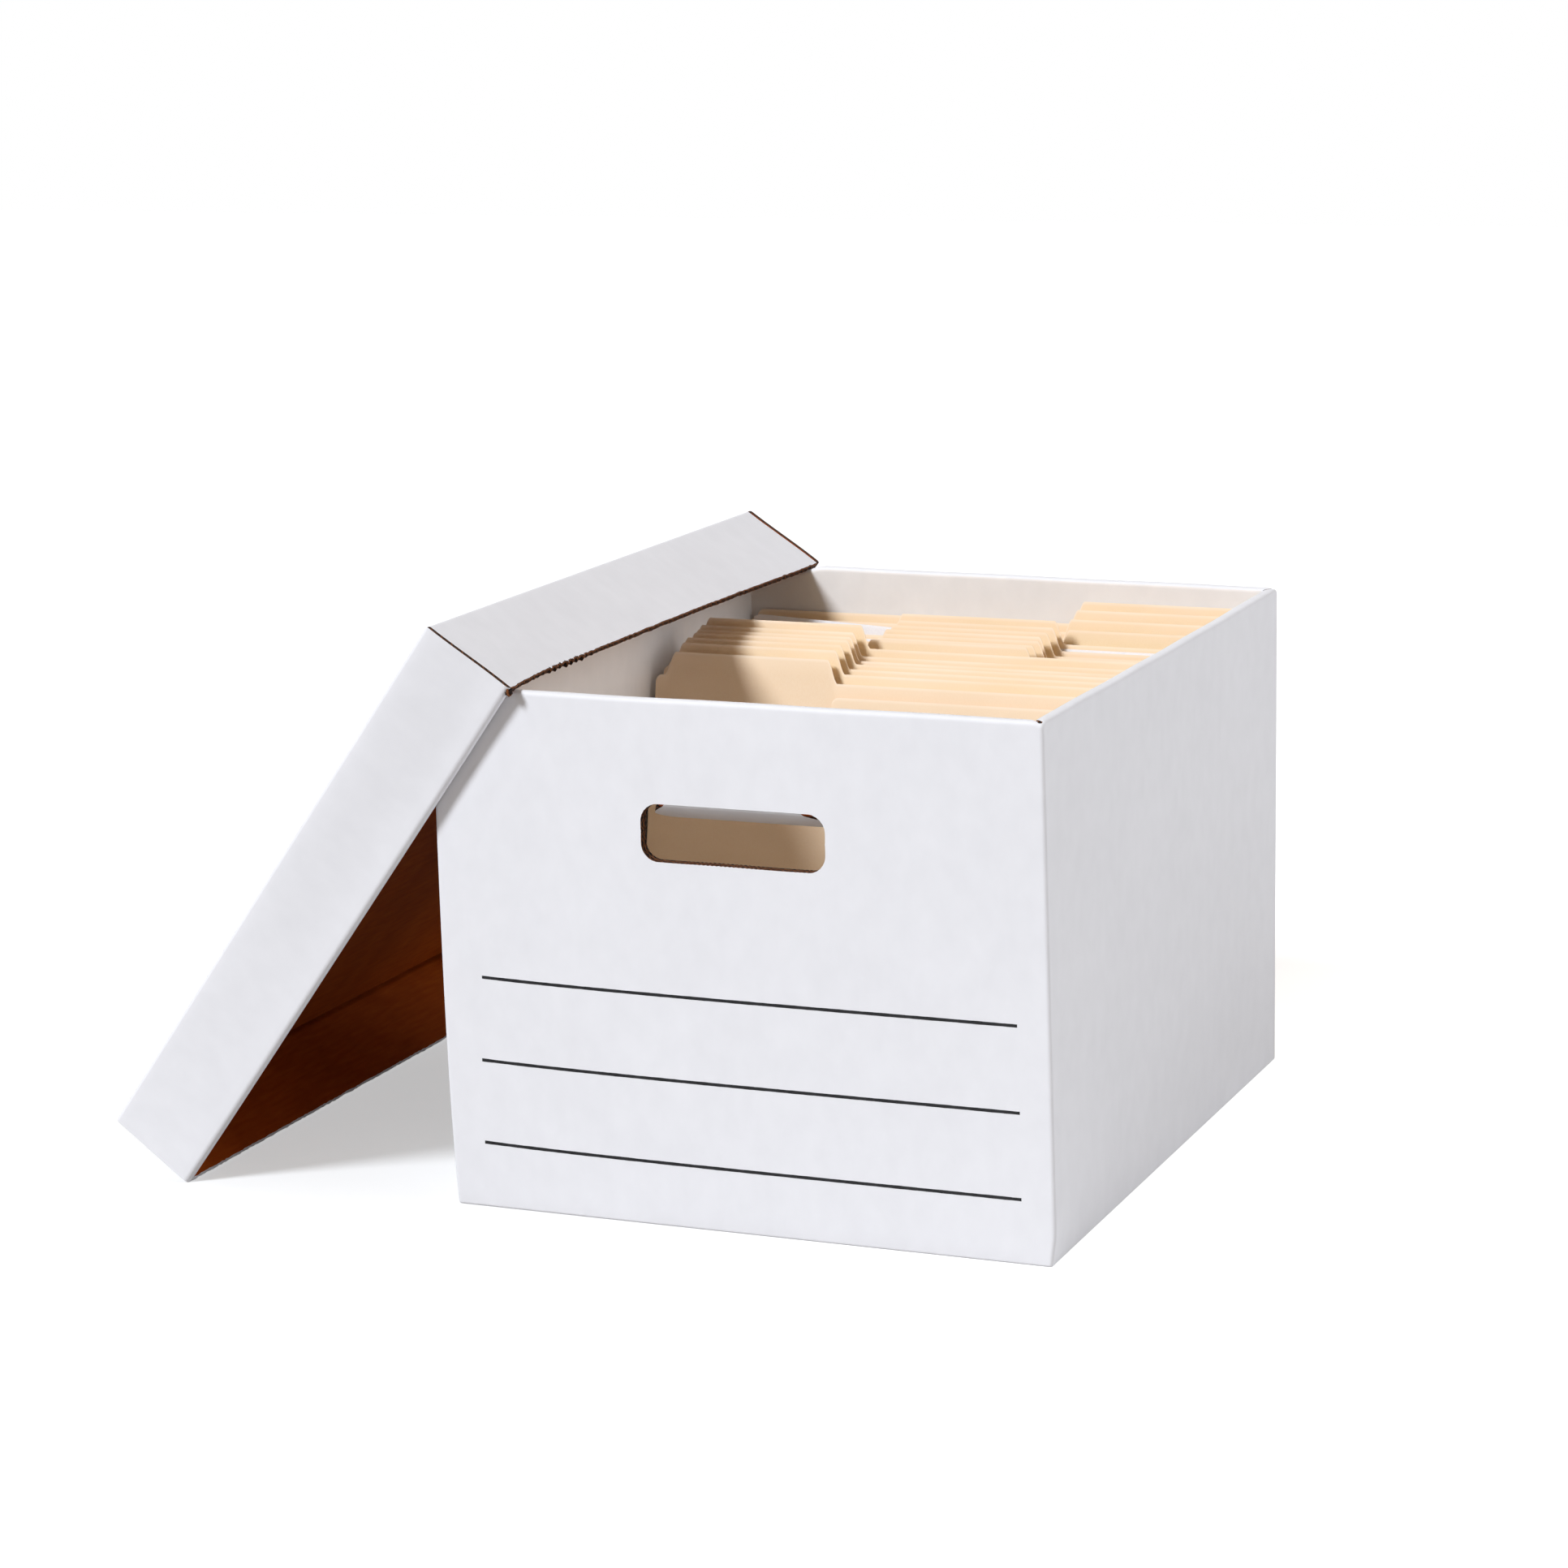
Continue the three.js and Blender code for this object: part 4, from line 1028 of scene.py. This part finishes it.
def stage():
    """A white floor that only the camera sees as white paper; it keeps the object's shadow under the lid,
    while towards the right it is painted brighter, painted light over the box's own cast shadow.
    """
    mesh = bpy.data.meshes.new("floor")
    size = FLOOR["half_size"]
    corners = [(-size, -size, 0), (size, -size, 0), (size, size, 0), (-size, size, 0)]
    mesh.from_pydata(corners, [], [(0, 1, 2, 3)])
    floor = bpy.data.objects.new("floor", mesh)
    bpy.context.scene.collection.objects.link(floor)
    material, tree = new_material("studio_floor")
    paper = add(tree, "ShaderNodeBsdfDiffuse", {"Color": linear(FLOOR["bounce"])})
    place = add(tree, "ShaderNodeTexCoord").outputs["Object"]
    x = add(tree, "ShaderNodeSeparateXYZ", {"Vector": place}).outputs["X"]
    # painted light: the floor grows brighter towards the right, over the box's cast shadow
    to_right = add(tree, "ShaderNodeMapRange", {
        "Value": x, "From Min": FLOOR["blend"][0], "From Max": FLOOR["blend"][1]})
    colour = add(tree, "ShaderNodeMix", {
        "Factor": to_right, MIX_A: linear(FLOOR["shown_left"]), MIX_B: linear(FLOOR["shown_right"])},
        data_type="RGBA").outputs[MIXED]
    shown = add(tree, "ShaderNodeBsdfDiffuse", {"Color": colour})
    brightness = add(tree, "ShaderNodeMapRange", {
        "Value": to_right, "To Min": FLOOR["glow_left"], "To Max": FLOOR["glow_right"]})
    glow = add(tree, "ShaderNodeEmission", {"Color": FLOOR["glow"], "Strength": brightness})
    lifted = add(tree, "ShaderNodeAddShader", {0: shown, 1: glow})
    surface = add(tree, "ShaderNodeMixShader", {0: seen_directly(tree), 1: paper, 2: lifted})
    add(tree, "ShaderNodeOutputMaterial", {"Surface": surface})
    mesh.materials.append(material)


def studio_world():
    """Soft even light from everywhere; white to the camera."""
    world = bpy.data.worlds.new("studio")
    bpy.context.scene.world = world
    world.use_nodes = True
    tree = world.node_tree
    tree.nodes.clear()
    soft = add(tree, "ShaderNodeBackground", {"Color": linear(SKY["colour"]), "Strength": SKY["strength"]})
    white = add(tree, "ShaderNodeBackground", {"Color": (1, 1, 1, 1), "Strength": 1.0})
    surface = add(tree, "ShaderNodeMixShader", {0: seen_directly(tree), 1: soft, 2: white})
    add(tree, "ShaderNodeOutputWorld", {"Surface": surface})


def large_source(name):
    """A soft source so far away that it lights everything from one side."""
    towards, strength, colour, width = LIGHTS[name]
    lamp = bpy.data.lights.new(name, "SUN")
    lamp.energy = strength
    lamp.color = linear(colour)[:3]
    lamp.angle = math.radians(width)
    light = bpy.data.objects.new(name, lamp)
    bpy.context.scene.collection.objects.link(light)
    light.rotation_euler = (-Vector(towards)).to_track_quat("-Z", "Y").to_euler()


def photo_camera():
    """The photograph's view."""
    yaw, pitch, roll = (math.radians(CAMERA[angle]) for angle in ("yaw", "pitch", "roll"))
    forward = Vector((-math.sin(yaw) * math.cos(pitch), math.cos(yaw) * math.cos(pitch), -math.sin(pitch)))
    right = Vector((math.cos(yaw), math.sin(yaw), 0))
    up = right.cross(forward)
    level_right = right * math.cos(roll) + up * math.sin(roll)
    level_up = up * math.cos(roll) - right * math.sin(roll)
    data = bpy.data.cameras.new("photo_camera")
    data.sensor_fit = "HORIZONTAL"
    data.sensor_width = CAMERA["sensor"]
    data.lens = CAMERA["focal_px"] / CAMERA["photo_px"] * CAMERA["sensor"]
    data.clip_end = CAMERA["sees_to"]
    camera = bpy.data.objects.new("photo_camera", data)
    bpy.context.scene.collection.objects.link(camera)
    turn = Matrix((level_right, level_up, -forward)).transposed().to_4x4()
    camera.matrix_world = Matrix.Translation(Vector(CAMERA["place"]) * MM) @ turn
    bpy.context.scene.camera = camera


# ------------------------------------------------------------------ build

photo_camera()
stage()
studio_world()
for name in LIGHTS:
    large_source(name)

box_walls()
hand_hole_tab("front_hand_tab", "front_handle_tab", -1, TAB_ANGLE, "front_tab")
hand_hole_tab("back_hand_tab", "back_handle_tab", 1, 0.0, "back_tab")
ruled_lines()
lid_panel()
lid_end("lid_front_end", -1, ["lid_front_skirt", "lid_front_skirt_liner"])
lid_end("lid_back_end", 1, ["lid_back_skirt", "lid_back_skirt_liner"])
for end_name, end in (("front", -1), ("back", 1)):
    for edge_name, edge in (("upper", 1), ("lower", -1)):
        lid_corner_tab(f"lid_{end_name}_{edge_name}_corner_tab", end, edge)
rng = np.random.default_rng(SEEDS["folders"])
for index in range(len(FOLDERS)):
    folder(index, rng)
    if index + 1 in STACKS:
        loose_sheets(index, rng)
finish_solids()

bpy.context.scene.view_settings.view_transform = "Standard"
